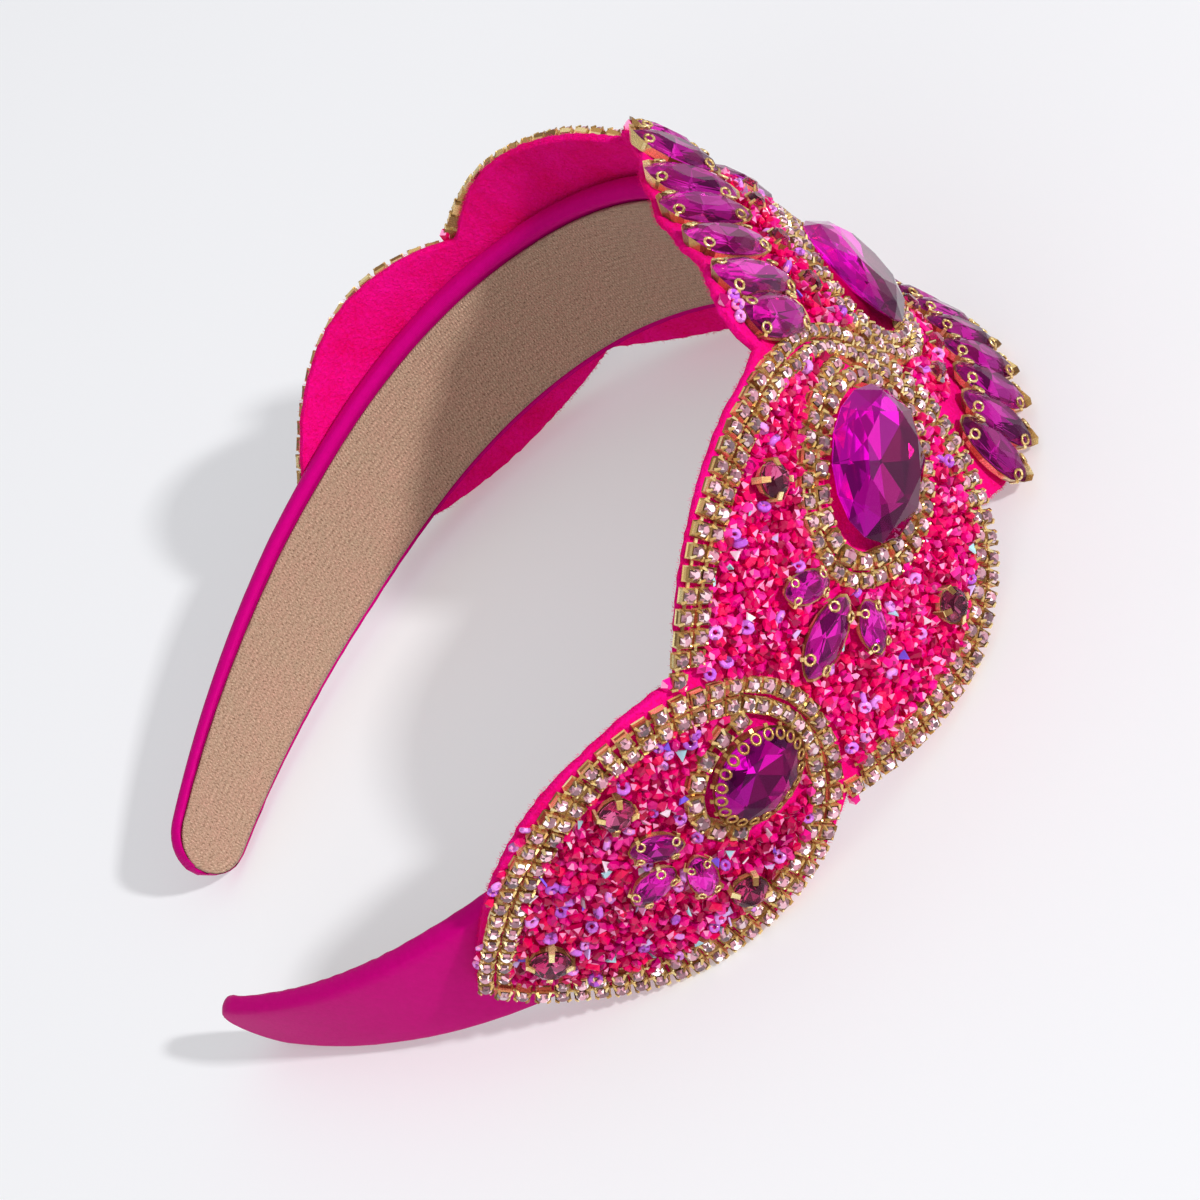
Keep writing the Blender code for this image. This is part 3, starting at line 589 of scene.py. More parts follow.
def bandSection(s):
    # the satin's outline from under the lining, round the back lip, over the top and round the front lip
    reach = headCurve["halfLength"]
    inside = min(abs(s), reach - 0.02 * bandCover["tipRounding"])
    top, seat = between(bandCover["heights"], inside), bandCover["seat"]
    wave = math.sin(2.0 * math.pi * s / bandCover["puckerPitch"] + 1.7 * math.sin(0.11 * s))
    pucker = bandCover["pucker"] * min(1.0, between(bandCover["lips"], inside)) * wave
    last, rounds = bandCover["pointsAcross"] - 1, []
    for across in (1.0, -1.0):
        shift = across * liningShift(inside)
        inner, lip = liningHalf(inside) + shift, between(bandCover["lips"], inside) - shift
        edge = inner + lip
        half = [
            (0.0, seat), (0.5 * inner, seat), (inner - 0.3, seat), (inner + 0.30, seat - 0.05),
            (inner + 0.28 * lip + 0.2, 0.32), (inner + 0.62 * lip + 0.15, 0.08 + pucker),
            (edge - 0.04 * lip, 0.75 + pucker), (edge + 0.5 * pucker, 1.55), (edge - 0.02 * lip, 0.56 * top),
            (edge - 0.35, 0.80 * top), (0.94 * edge - 0.3, 0.93 * top), (0.80 * edge, 0.98 * top),
            (0.55 * edge, top), (0.0, top),
        ]
        fine = smooth(half, False, 0.5 * edge / 12.0)
        even = [fine[round(index * (len(fine) - 1) / last)] for index in range(last + 1)]
        rounds.append([(across * f, h) for f, h in even])
    ring = rounds[0] + rounds[1][-2:0:-1]
    ring = [(f, min(h, top + 0.1 - droopAt(s, f))) for f, h in ring]
    over = (abs(s) - reach) / bandCover["tipFold"]
    if over > 0.0:
        share = 1.0 - bandCover["tipShrink"] * (1.0 - math.cos(0.5 * math.pi * over))
        middle = 0.5 * top
        ring = [(f * share, middle + (h - middle) * share) for f, h in ring]
    return ring


def makeBandCover():
    ends = [headCurve["halfLength"] + bandCover["tipFold"] * part for part in (0.4, 0.75, 1.0)]
    stations = [-end for end in reversed(ends)] + bandStations() + ends
    cover = addPiece("band_satin", sweep(stations, bandSection, bend), [satin], "magenta_satin", "band")


def liningSection(s):
    half, thick = liningHalf(s), bandCover["liningThickness"]
    across = [half * (2.0 * index / 14.0 - 1.0) for index in range(15)]
    low = [(f, 0.02 + 0.10 * (abs(f) / half) ** 12) for f in across]
    ring = low + [(half + 0.04, 0.4)] + [(f, thick) for f in reversed(across)] + [(-half - 0.04, 0.4)]
    return [(f + liningShift(abs(s)), h) for f, h in ring]


def flatArea(stations, widthAt):
    return sum(widthAt(0.5 * (one + two)) * (two - one) for one, two in zip(stations, stations[1:])) * 1e-6


def makeLining():
    stations = bandStations()
    lining = addPiece("lining_twill", sweep(stations, liningSection, bend), [twill], "tan_twill", "lining")
    flatArea(stations, lambda s: 2.0 * liningHalf(s))


def feltEdges(s):
    trim = between(feltSheet["leftTrim"], -s) if s < 0.0 else 0.0
    return between(feltSheet["halfWidths"], abs(s), 1) - trim, between(feltSheet["halfWidths"], abs(s), 2)


def feltSection(s):
    front, back = feltEdges(s)
    front += feltSheet["rough"] * (math.sin(5.1 * s) + math.sin(8.3 * s + 1.0))
    back += feltSheet["rough"] * (math.sin(4.7 * s + 2.0) + math.sin(9.1 * s))
    last = feltSheet["pointsAcross"] - 1
    share = [math.sin(0.5 * math.pi * (2.0 * index / last - 1.0)) for index in range(last + 1)]
    across = [(-front + (front + back) * 0.5 * (part + 1.0)) for part in share]
    bulge = min(feltSheet["bulge"], feltSheet["bulge"] * (front + back) / 4.0)
    top = [(f, 0.0) for f in across]
    top[0], top[-1] = (across[0] + 0.05, -0.18), (across[-1] - 0.05, -0.18)
    low = [(f, -feltSheet["thickness"]) for f in reversed(across)]
    low[0], low[-1] = (across[-1] - 0.05, -1.3), (across[0] + 0.05, -1.3)
    return top + [(across[-1] + bulge * 0.5, -0.75)] + low + [(across[0] - bulge * 0.5, -0.75)]


def feltPlace(s, f, u):
    front, back = feltEdges(s)
    near = min(1.0, max(0.0, (abs(f) - 0.62 * (front if f < 0.0 else back)) / 6.0))
    ripple = feltSheet["ripple"] * near * math.sin(2.1 * s + 0.4 * f + 1.5 * math.sin(0.3 * s))
    return wrap(s, f, u + ripple)


def makeFelt():
    stations = evenStations(feltSheet["halfWidths"][-1][0], 1.0, feltSheet["notch"])
    mesh = sweep(stations, feltSection, feltPlace)
    sheet = addPiece("felt_sheet", mesh, [felt], "pink_felt", "felt_backing")
    flatArea(stations, lambda s: sum(feltEdges(s)))


def makeFibres():
    # loose fibres that stand out of the felt, most of them at its cut edges
    form = bmesh.new()
    bmesh.ops.create_cone(form, cap_ends=True, segments=3, radius1=0.5, radius2=0.12, depth=1.0,
                          matrix=Matrix.Translation((0, 0, 0.5)))
    fibre = asShape(form)
    tones = palette(srgb(240, 6, 110), 0.7, 1.0, 1.25)
    last, wide, copies = feltSheet["halfWidths"][-1][0], feltSheet["fibreWidth"], []
    for number in range(feltSheet["fibres"]):
        s = dice.uniform(-last, last)
        front, back = feltEdges(s)
        if number % 3:
            f = dice.choice((-front - feltSheet["fibreOut"], back + feltSheet["fibreOut"]))
            u = dice.uniform(-feltSheet["thickness"], 0.0)
            way = Vector((dice.uniform(-0.9, 0.9), math.copysign(1.0, f), dice.uniform(-0.8, 0.8)))
        else:
            f = dice.uniform(-front, back)
            below = number % 2
            u = -feltSheet["thickness"] if below else 0.0
            way = Vector((dice.uniform(-1, 1), dice.uniform(-1, 1), (-0.35 if below else 0.35)))
        place = onFelt(s, f, 0.0, u)
        long = dice.uniform(*feltSheet["fibreLength"])
        if (layDown @ place.translation).z < feltSheet["fibreFloor"]:
            continue
        size = Matrix.Diagonal((wide, wide, long, 1.0))
        copies.append((fibre, place @ way.to_track_quat("Z", "X").to_matrix().to_4x4() @ size, [tones]))
    addPiece("felt_fibres", joinCopies("felt_fibres", copies), [felt], "pink_felt")


# Cup chains
cupChain = {
    "pitch": 3.15, "cup": 2.5, "wall": 1.55, "stone": 1.14, "rowGap": 2.9, "bigScale": 1.16, "lift": 0.12,
    "dent": (0.34, -0.14),      # margin and depth of the dent in each side of a cup
    "rim": 0.17, "well": 0.75,
    "prong": (0.48, 0.48, 0.95), "prongPlace": (0.93, 1.73), "prongLean": 26, "prongTaper": 0.55,
    "bar": (1.0, 0.5, 0.3), "barHeight": 0.45,
    "sway": 0.07, "turn": 4, "lean": 5, "roll": 4,      # how unevenly the cups lie, in mm and degrees
    "brightness": (0.7, 0.9, 1.0, 1.15),
    "endTrim": (2.4, 8.0), "middleTrim": (1.6, 1.6),    # how much shorter the inner row is at its two ends
    "middleArc": (-137.0, 143.0), "endArc": (-118.0, 36.0),
    "leftInwards": (        # s, how much further in the chain lies on the front edge of the left lobes
        (20, 0), (38, 1.8), (53, 1.9), (61, 1.2), (67, 0.5), (75, -0.4), (83, -0.7)),
}
endLobeRoute = (
    (143.2, -1.5), (138.5, -6.1), (133, -10.6), (128, -14.4), (121.5, -18.5), (116, -21.2), (109.3, -23.3),
    (102.8, -24.1), (96.8, -23.4), (91, -21.2), (85.6, -17.8), (81, -13.2), (77.5, -7.4), (76, 0),
    (77.5, 7.4), (81, 13.2), (85.6, 17.6), (91, 20.6), (96.8, 21.9), (102.8, 22.3), (109.3, 21.8),
    (116, 20.7), (121.5, 18.8), (128, 15.4), (133, 11.8), (138.5, 7), (142.4, 1.7),
)
middleLobeRoute = (
    (83, -20.6), (79.4, -22.9), (73.8, -26.2), (68, -28.8), (61.8, -30.4), (55, -31), (48.8, -30.6),
    (42.8, -29.1), (36.8, -26.7), (31.8, -23.4), (26.5, -19), (22.6, -13.8), (20.4, -7.2), (19.6, 0),
    (20.4, 7.2), (22.6, 13.8), (26.5, 19.2), (31.8, 24.2), (37.5, 27.6), (43.3, 29.6), (50.3, 30.7),
    (57, 30.7), (63.3, 29.3), (69.3, 27.2), (75, 24.4), (79.4, 21.8), (82.4, 19.9),
)
rings = {   # centre s and f, half size along s and along f
    "centreInner": (0.0, 0.6, 13.9, 11.9), "centreOuter": (0.0, 0.6, 16.8, 14.8),
    "middleInner": (40.2, -1.5, 14.5, 11.1), "middleOuter": (40.2, -1.5, 17.4, 14.0),
    "end": (88.0, 0.7, 10.3, 8.6),
}
# chain stone facet tones, dark to white: painted shade and reflections, the palest glowing as glints
roseTones = colourSet((140, 84, 98), (214, 150, 168), (240, 186, 200), (84, 40, 50), (190, 120, 140),
                      (255, 226, 232), (120, 66, 80), (60, 26, 34))


def addBox(form, size, place, turn=Matrix.Identity(4), taper=1.0):
    made = bmesh.ops.create_cube(form, size=1.0)["verts"]
    for vert in made:
        if vert.co.z > 0.0:
            vert.co.x *= taper
            vert.co.y *= taper
    bmesh.ops.transform(form, verts=made,
                        matrix=Matrix.Translation(place) @ turn @ Matrix.Diagonal((*size, 1.0)))
    return made


def hullOf(form, rounds):
    # a cut stone in finish 1: rounds of points, as (points, height), under one tight skin
    before = set(form.verts)
    for points, height in rounds:
        for x, y in points:
            form.verts.new((x, y, height))
    fresh = [vert for vert in form.verts if vert not in before]
    made = bmesh.ops.convex_hull(form, input=fresh, use_existing_faces=False)
    faces = [item for item in made["geom"] if isinstance(item, bmesh.types.BMFace)]
    for face in faces:
        face.material_index = 1
    edges = sorted({edge for face in faces for edge in face.edges}, key=placeOf)
    verts = sorted({vert for face in faces for vert in face.verts}, key=lambda vert: vert.co[:])
    bmesh.ops.dissolve_limit(form, angle_limit=math.radians(1.5), verts=verts, edges=edges,
                             use_dissolve_boundaries=False)


def oval(halfLength, halfWidth, count, turn=0.0):
    angles = [2.0 * math.pi * (index + turn) / count for index in range(count)]
    return [(halfLength * math.cos(a), halfWidth * math.sin(a)) for a in angles]


def linkShape():
    # one cup with its stone, its prongs and the bar to the next cup
    cup, wall, stone = cupChain["cup"], cupChain["wall"], cupChain["stone"]
    form = bmesh.new()
    addBox(form, (cup, cup, wall), (0, 0, 0.5 * wall))
    form.normal_update()
    top = max(form.faces, key=lambda face: face.calc_center_median().z)
    walls = [face for face in form.faces if abs(face.normal.z) < 0.5]
    bmesh.ops.inset_individual(form, faces=walls, thickness=cupChain["dent"][0], depth=cupChain["dent"][1])
    bmesh.ops.inset_region(form, faces=[top], thickness=cupChain["rim"])
    for vert in top.verts:
        vert.co.z -= cupChain["well"]
    (out, middle), lean = cupChain["prongPlace"], math.radians(cupChain["prongLean"])
    for x in (-1, 1):
        for y in (-1, 1):
            turn = Matrix.Rotation(lean * y, 4, "X") @ Matrix.Rotation(-lean * x, 4, "Y")
            addBox(form, cupChain["prong"], (x * out, y * out, middle), turn, cupChain["prongTaper"])
    addBox(form, cupChain["bar"], (0.5 * cupChain["pitch"], 0, cupChain["barHeight"]))
    hullOf(form, ((oval(0.5 * stone, 0.5 * stone, 6), 2.2), (oval(0.8 * stone, 0.8 * stone, 6, 0.5), 1.95),
                  (oval(stone, stone, 8, 0.5), 1.6), (oval(0.6 * stone, 0.6 * stone, 6), 1.0)))
    return asShape(form)


def uneven(key):
    return dice.uniform(-cupChain[key], cupChain[key])


def chainPiece(name, link, points, closed, side, scale=1.0):
    copies, count = [], len(points)
    for index, (s, f) in enumerate(points):
        before = points[(index - 1) % count] if closed else points[max(index - 1, 0)]
        after = points[(index + 1) % count] if closed else points[min(index + 1, count - 1)]
        angle = math.degrees(math.atan2(after[1] - before[1], after[0] - before[0]))
        angle = angle if side > 0 else 180.0 - angle
        place = onFelt(side * s, f + uneven("sway"), angle + uneven("turn"), cupChain["lift"],
                       math.radians(uneven("lean")), math.radians(uneven("roll")))
        tones = np.minimum(roseTones * dice.choice(cupChain["brightness"]), 1.0)
        copies.append((link, place @ Matrix.Diagonal((scale, scale, scale, 1.0)), [goldTones, tones]))
    addJoined(name, "_links", copies, [gold, roseStone], "rose_cup_chain")


def leftFront(point):
    return between(cupChain["leftInwards"], point[0]) if point[1] < 0.0 else 0.0


def makeChains():
    link, pitch, big = linkShape(), cupChain["pitch"], cupChain["bigScale"]
    for name, route, trim in (("end_lobe_chain", endLobeRoute, "endTrim"),
                              ("middle_lobe_chain", middleLobeRoute, "middleTrim")):
        outer = smooth(route, False, pitch)
        inner = trimmed(movedInwards(outer, cupChain["rowGap"]), *cupChain[trim])
        for tag, side in bothSides:
            for row, points in (("_outer", outer), ("_inner", inner)):
                if side < 0.0:
                    points = movedInwards(points, leftFront)
                chainPiece(name + row + tag, link, points, False, side)
    for name, ring in (("centre_ring_inner", "centreInner"), ("centre_ring_outer", "centreOuter")):
        chainPiece(name, link, smooth(ellipsePoints(rings[ring]), True, pitch), True, 1.0)
    for tag, side in bothSides:
        inner = smooth(ellipsePoints(rings["middleInner"]), True, pitch * big)
        chainPiece("middle_ring_inner" + tag, link, inner, True, side, big)
        outer = smooth(ellipsePoints(rings["middleOuter"], *cupChain["middleArc"]), False, pitch)
        chainPiece("middle_ring_outer" + tag, link, outer, False, side)
        end = smooth(ellipsePoints(rings["end"], *cupChain["endArc"], 12), False, pitch * big)
        chainPiece("end_ring" + tag, link, end, False, side, big)


# Cut stones in their settings. Finish 0 is gold, 1 the clear top, 2 the foil under it.
stones = {
    # node, centre s and f, half sizes, heights of floor, girdle and table, table share, mirrored
    "ovals": (
        ("centre_oval", 0.0, 0.6, 13.0, 11.0, (0.3, 2.3, 5.8), 0.58, False),
        ("middle_oval", 40.2, -1.5, 13.7, 10.35, (0.3, 2.9, 6.6), 0.62, True),
        ("end_oval", 88.0, 0.7, 8.5, 6.9, (0.3, 3.4, 5.6), 0.6, True),
    ),
    "frontFan": (   # node, inner s and f, outer s and f, width, tilt
        ("front_mid", 0.2, -20.8, -0.2, -37.0, 10.0, 0.07),
        ("front_near_right", 8.6, -20.8, 12.2, -37.0, 10.0, 0.07),
        ("front_near_left", -6.8, -20.6, -10.4, -36.8, 10.0, 0.07),
        ("front_far_right", 16.4, -19.6, 24.4, -36.4, 9.6, 0.1),
        ("front_far_left", -17.0, -20.0, -20.6, -36.8, 9.6, 0.07),
        ("front_end_right", 22.0, -18.6, 30.4, -31.2, 9.0, 0.13),
        ("front_end_left", -24.6, -19.2, -28.6, -32.4, 8.6, 0.1),
    ),
    "backFan": (    # the same columns, mirrored
        ("back_a", 3.4, 21.8, 3.6, 37.4, 7.6, -0.05), ("back_b", 9.4, 21.8, 10.6, 37.4, 7.8, -0.05),
        ("back_c", 15.0, 21.8, 18.4, 37.2, 8.0, -0.06), ("back_d", 20.8, 20.4, 26.2, 35.0, 8.2, -0.08),
    ),
    # the back fan's facet tones are darkened by a factor: painted shade
    "fanHeights": (0.0, 1.6, 3.5), "frontLift": 0.1, "backLift": 0.9, "backPaintedShade": 0.7,
    "fanFullness": 0.48, "fanBlunt": 0.5,   # how round the outline is, and how far its ends are cut off
    "fanEndRise": 1.1,                      # how far the tray's rim rises at the outer end
    "fanClaws": 0.68, "petalClaws": 0.66,   # where the claws stand, as a share of the half length
    "clawRing": (0.82, 0.26), "bezelRing": (0.74, 0.25),    # radius and wire
    "clawLean": 26, "clawBar": (0.55, 0.62, 0.2), "bezelTeeth": 20, "bezelLean": 34,
    "chatons": (    # label, s, f, diameter
        ("end_front", 103.0, -15.9, 6.5), ("end_back", 102.8, 14.4, 6.5), ("end_tip", 130.2, -0.6, 7.4),
        ("middle_front", 52.0, -21.6, 6.3), ("middle_back", 52.6, 21.4, 6.3),
    ),
    "chatonHeights": (0.0, 1.8, 3.2), "chatonLift": 1.4, "chatonClaw": (1.5, 0.9, 0.36), "chatonLean": 30,
    "petals": {     # s, f, length, width, angle
        "middle": ((62.5, -8.4, 9.2, 5.4, -49.0), (67.0, -0.8, 14.6, 7.2, 0.0), (62.1, 6.9, 9.2, 5.4, 50.0)),
        "end": ((104.2, -5.6, 9.0, 5.4, -48.0), (109.4, -0.5, 9.0, 5.6, 0.0), (104.4, 5.2, 9.0, 5.0, 62.0)),
    },
    "petalHeights": (0.0, 1.5, 2.9), "petalLift": 1.6,
    "baguettes": ((5.6, 18.5, 8.0), (14.2, 15.4, 38.0)),    # s, f, angle
    "baguetteSize": (4.4, 2.9), "baguetteHeights": (0.0, 1.2, 2.2), "baguetteLift": 1.3,
    "baguetteClaw": (0.55, 0.45, 1.2),
}
# facet tones of the stones' foil, each taken at random: the dark and pale ones are painted shade and
# reflections
fuchsiaTones = colourSet((255, 0, 232), (236, 0, 206), (222, 0, 190), (255, 30, 240), (150, 0, 138))
fuchsiaShadedTones = np.vstack((fuchsiaTones, colourSet((104, 0, 90), (66, 0, 54))))     # of the side ovals, with two painted dark reflections
# dark foil tones for the back half of the big ovals: painted shade
fuchsiaPaintedShade = colourSet((84, 0, 50), (118, 0, 78), (58, 0, 34), (152, 0, 110), (110, 14, 68))
violetTones = colourSet((240, 70, 215), (190, 40, 160), (104, 14, 90), (255, 130, 235), (150, 30, 110))
mauveTones = colourSet((225, 90, 150), (130, 44, 78), (70, 18, 40), (250, 170, 205), (96, 30, 56))


def cutStone(form, outline, heights, table, shadedBack=False):
    # outline(share, turn, count) gives a round of points; the glass is over the girdle and the foil under
    # it; a stone with a shaded back has its foil's back side in finish 3, in dark tones as painted shade
    floor, girdle, top = heights
    rise, sink = top - girdle, girdle - floor
    before = set(form.faces)
    hullOf(form, (
        (outline(table, 0.0, 8), top), (outline(0.5 * (1.0 + table) + 0.06, 0.5, 8), girdle + 0.62 * rise),
        (outline(1.0, 0.0, 16), girdle + 0.12), (outline(1.0, 0.0, 16), girdle - 0.14),
        (outline(0.62, 0.5, 8), floor + 0.36 * sink), (outline(0.04, 0.0, 4), floor + 0.12)))
    for face in form.faces:
        if face not in before and face.calc_center_median().z < girdle - 0.15:
            face.material_index = 3 if shadedBack and face.calc_center_median().y > 0.0 else 2


def goldTray(form, outline, floor, rim, count, share=1.05, wall=0.16, endRise=0.0):
    # an open cup: a plate drawn up into a wall and hollowed; its rim may rise towards the outer end
    narrow = 0.80
    plate = form.faces.new([form.verts.new((x, y, floor)) for x, y in outline(narrow * share, 0.0, count)])
    form.normal_update()
    if plate.normal.z > 0.0:
        plate.normal_flip()
    grown = bmesh.ops.extrude_face_region(form, geom=[plate])["geom"]
    lid = next(item for item in grown if isinstance(item, bmesh.types.BMFace))
    for vert in lid.verts:
        vert.co = Vector((vert.co.x / narrow, vert.co.y / narrow, rim))
    reach = max(vert.co.x for vert in lid.verts)
    for vert in lid.verts:
        vert.co.z += endRise * max(0.0, vert.co.x / reach - 0.5) / 0.5
    form.normal_update()
    bmesh.ops.inset_region(form, faces=[lid], thickness=wall)
    for vert in lid.verts:
        vert.co.z = floor + 0.06
        vert.co.x *= 0.85
        vert.co.y *= 0.85


def spunRing(form, radius, wire, steps):
    # a small ring of round wire; gives back its points
    before = set(form.verts)
    upright = Matrix.Translation((radius, 0, 0)) @ Matrix.Rotation(math.radians(90), 4, "X")
    profile = bmesh.ops.create_circle(form, segments=5, radius=wire, matrix=upright)["verts"]
    edges = list({edge for vert in profile for edge in vert.link_edges})
    bmesh.ops.spin(form, geom=profile + edges, cent=(0, 0, 0), axis=(0, 0, 1), angle=2 * math.pi, steps=steps,
                   use_merge=True)
    fresh = [vert for vert in form.verts if vert not in before]
    for face in {face for vert in fresh for face in vert.link_faces}:
        face.smooth = True
    return fresh


def ringClaw(form, place, radius, wire, strap):
    # a strap that comes up beside the stone and ends in a small ring over its edge
    ring = spunRing(form, radius, wire, 10)
    long, wide, thick = stones["clawBar"]
    bar = addBox(form, (long, wide, thick), (radius + 0.35, 0, -0.02))
    drop = addBox(form, (thick, wide, strap), (radius + 0.62, 0, -0.5 * strap))
    bmesh.ops.transform(form, verts=ring + bar + drop, matrix=place)


def navetteOutline(length, width, fullness, blunt=0.0):
    def outline(share, turn, count):
        points = []
        for x, y in oval(0.5 * length, 0.5 * width, count, turn + blunt):
            fall = max(1.0 - (2.0 * x / length) ** 2, 0.0)
            half = math.copysign(0.5 * width * fall ** fullness, y) if fall else 0.0
            points.append((x * share, half * share))
        return points
    return outline


def ovalOutline(halfLength, halfWidth):
    def outline(share, turn, count):
        return oval(halfLength * share, halfWidth * share, count, turn)
    return outline


def navetteShape(length, width, heights, clawsAt, fullness=0.6, blunt=0.0, endRise=0.0):
    # a pointed stone in a tray, with a ring claw on each side near both ends
    floor, girdle, top = heights
    form = bmesh.new()
    cutStone(form, navetteOutline(length * 0.97, width * 0.95, fullness, blunt), heights, 0.5)
    goldTray(form, navetteOutline(length, width, fullness, blunt), floor, girdle - 0.05, 16, endRise=endRise)
    lean, size = Matrix.Rotation(math.radians(stones["clawLean"]), 4, "Y"), min(1.0, width / 7.0)
    radius, wire = stones["clawRing"]
    for x in (-clawsAt, clawsAt):
        for y in (-1, 1):
            half, height = 0.5 * width * (1.0 - x * x) ** fullness, girdle + 0.56 * (top - girdle)
            out = Matrix.Rotation(math.atan2(y, x * 0.75), 4, "Z")
            place = Matrix.Translation((0.5 * length * x * 0.97, y * half * 0.76, height))
            ringClaw(form, place @ out @ lean, radius * size, wire * size, girdle)
    return asShape(form)


def chatonShape(diameter, heights):
    floor, girdle, top = heights
    half = 0.5 * diameter
    form = bmesh.new()
    cutStone(form, ovalOutline(0.93 * half, 0.93 * half), heights, 0.55)
    goldTray(form, ovalOutline(half, half), floor, girdle - 0.25, 12, 1.0)
    lean = Matrix.Rotation(math.radians(stones["chatonLean"]), 4, "Y")
    strap, claw = (0.5, 1.0, girdle + 0.55), stones["chatonClaw"]
    for index in range(4):
        turn = Matrix.Rotation(math.radians(45 + 90 * index), 4, "Z")
        for size, place in ((strap, Matrix.Translation((half, 0, 0.5 * girdle + 0.3))),
                            (claw, Matrix.Translation((half * 0.84, 0, girdle + 0.70)) @ lean)):
            bmesh.ops.transform(form, verts=addBox(form, size, (0, 0, 0)), matrix=turn @ place)
    return asShape(form)


def bezelShape(halfLength, halfWidth, heights):
    # a deep tray with a row of small rings round its rim
    floor, girdle, top = heights
    form = bmesh.new()
    goldTray(form, ovalOutline(halfLength, halfWidth), floor, girdle + 0.3, 32, 1.07, 0.3)
    lean = Matrix.Rotation(math.radians(stones["bezelLean"]), 4, "Y")
    for x, y in oval(halfLength, halfWidth, stones["bezelTeeth"]):
        out = math.atan2(y / halfWidth ** 2, x / halfLength ** 2)
        place = Matrix.Translation((0.93 * x, 0.93 * y, girdle + 0.75)) @ Matrix.Rotation(out, 4, "Z")
        ringClaw(form, place @ lean @ Matrix.Diagonal((1.2, 1.0, 1.0, 1.0)), *stones["bezelRing"], 0.4)
    return asShape(form)


def sidesOf(name, mirrored=True):
    return [(name + tag, side) for tag, side in bothSides] if mirrored else [(name, 1.0)]


def makeBigStones():
    for node, s, f, halfS, halfF, heights, table, mirrored in stones["ovals"]:
        form = bmesh.new()
        # the back half of each oval's foil takes dark tones: painted shade
        cutStone(form, ovalOutline(halfS, halfF), heights, table, True)
        shape, tones = asShape(form), fuchsiaShadedTones if mirrored else fuchsiaTones
        for name, side in sidesOf(node, mirrored):
            place = onFelt(side * s, f, 0.0, 0.0)
            copies = [(shape, place, [goldTones, tones, tones, fuchsiaPaintedShade])]
            if node == "end_oval":
                bezelTones = [palette(srgb(170, 124, 62), 0.7, 1.0)]
                copies.append((bezelShape(halfS, halfF, heights), place, bezelTones))
            addJoined(name, "_cut", copies, [*fuchsia, fuchsia[2]], "fuchsia_stone")


def makeFan():
    back = [(label + tag, side * sIn, fIn, side * sOut, fOut, width, tilt)
            for label, sIn, fIn, sOut, fOut, width, tilt in stones["backFan"] for tag, side in bothSides]
    for label, sIn, fIn, sOut, fOut, width, tilt in (*stones["frontFan"], *back):
        length = math.dist((sIn, fIn), (sOut, fOut))
        shape = navetteShape(length, width, stones["fanHeights"], stones["fanClaws"], stones["fanFullness"],
                             stones["fanBlunt"], stones["fanEndRise"])
        # the back fan's stones take darker tones: painted shade
        lift, shade = (stones["backLift"], stones["backPaintedShade"]) if fIn > 0.0 else (stones["frontLift"], 1.0)
        angle = math.degrees(math.atan2(fOut - fIn, sOut - sIn))
        place = onFelt(0.5 * (sIn + sOut), 0.5 * (fIn + fOut), angle, lift, 0.0, tilt)
        tones = violetTones * shade
        addJoined("fan_" + label, "_cut", [(shape, place, [goldTones, tones, tones])], violet, "violet_stone")


def makeChatons():
    for label, s, f, diameter in stones["chatons"]:
        shape = chatonShape(diameter, stones["chatonHeights"])
        for name, side in sidesOf("chaton_" + label):
            place = onFelt(side * s, f, dice.uniform(-20, 20), stones["chatonLift"])
            copies = [(shape, place, [goldTones, mauveTones, mauveTones])]
            addJoined(name, "_cut", copies, mauve, "mauve_stone")


def makePetals():
    for lobe, petals in stones["petals"].items():
        for name, side in sidesOf(lobe + "_petals"):
            copies = []
            for s, f, length, width, angle in petals:
                shape = navetteShape(length, width, stones["petalHeights"], stones["petalClaws"])
                place = onFelt(side * s, f, angle if side > 0 else 180.0 - angle, stones["petalLift"])
                copies.append((shape, place, [goldTones, violetTones, violetTones]))
            addJoined(name, "_cut", copies, violet, "violet_stone")


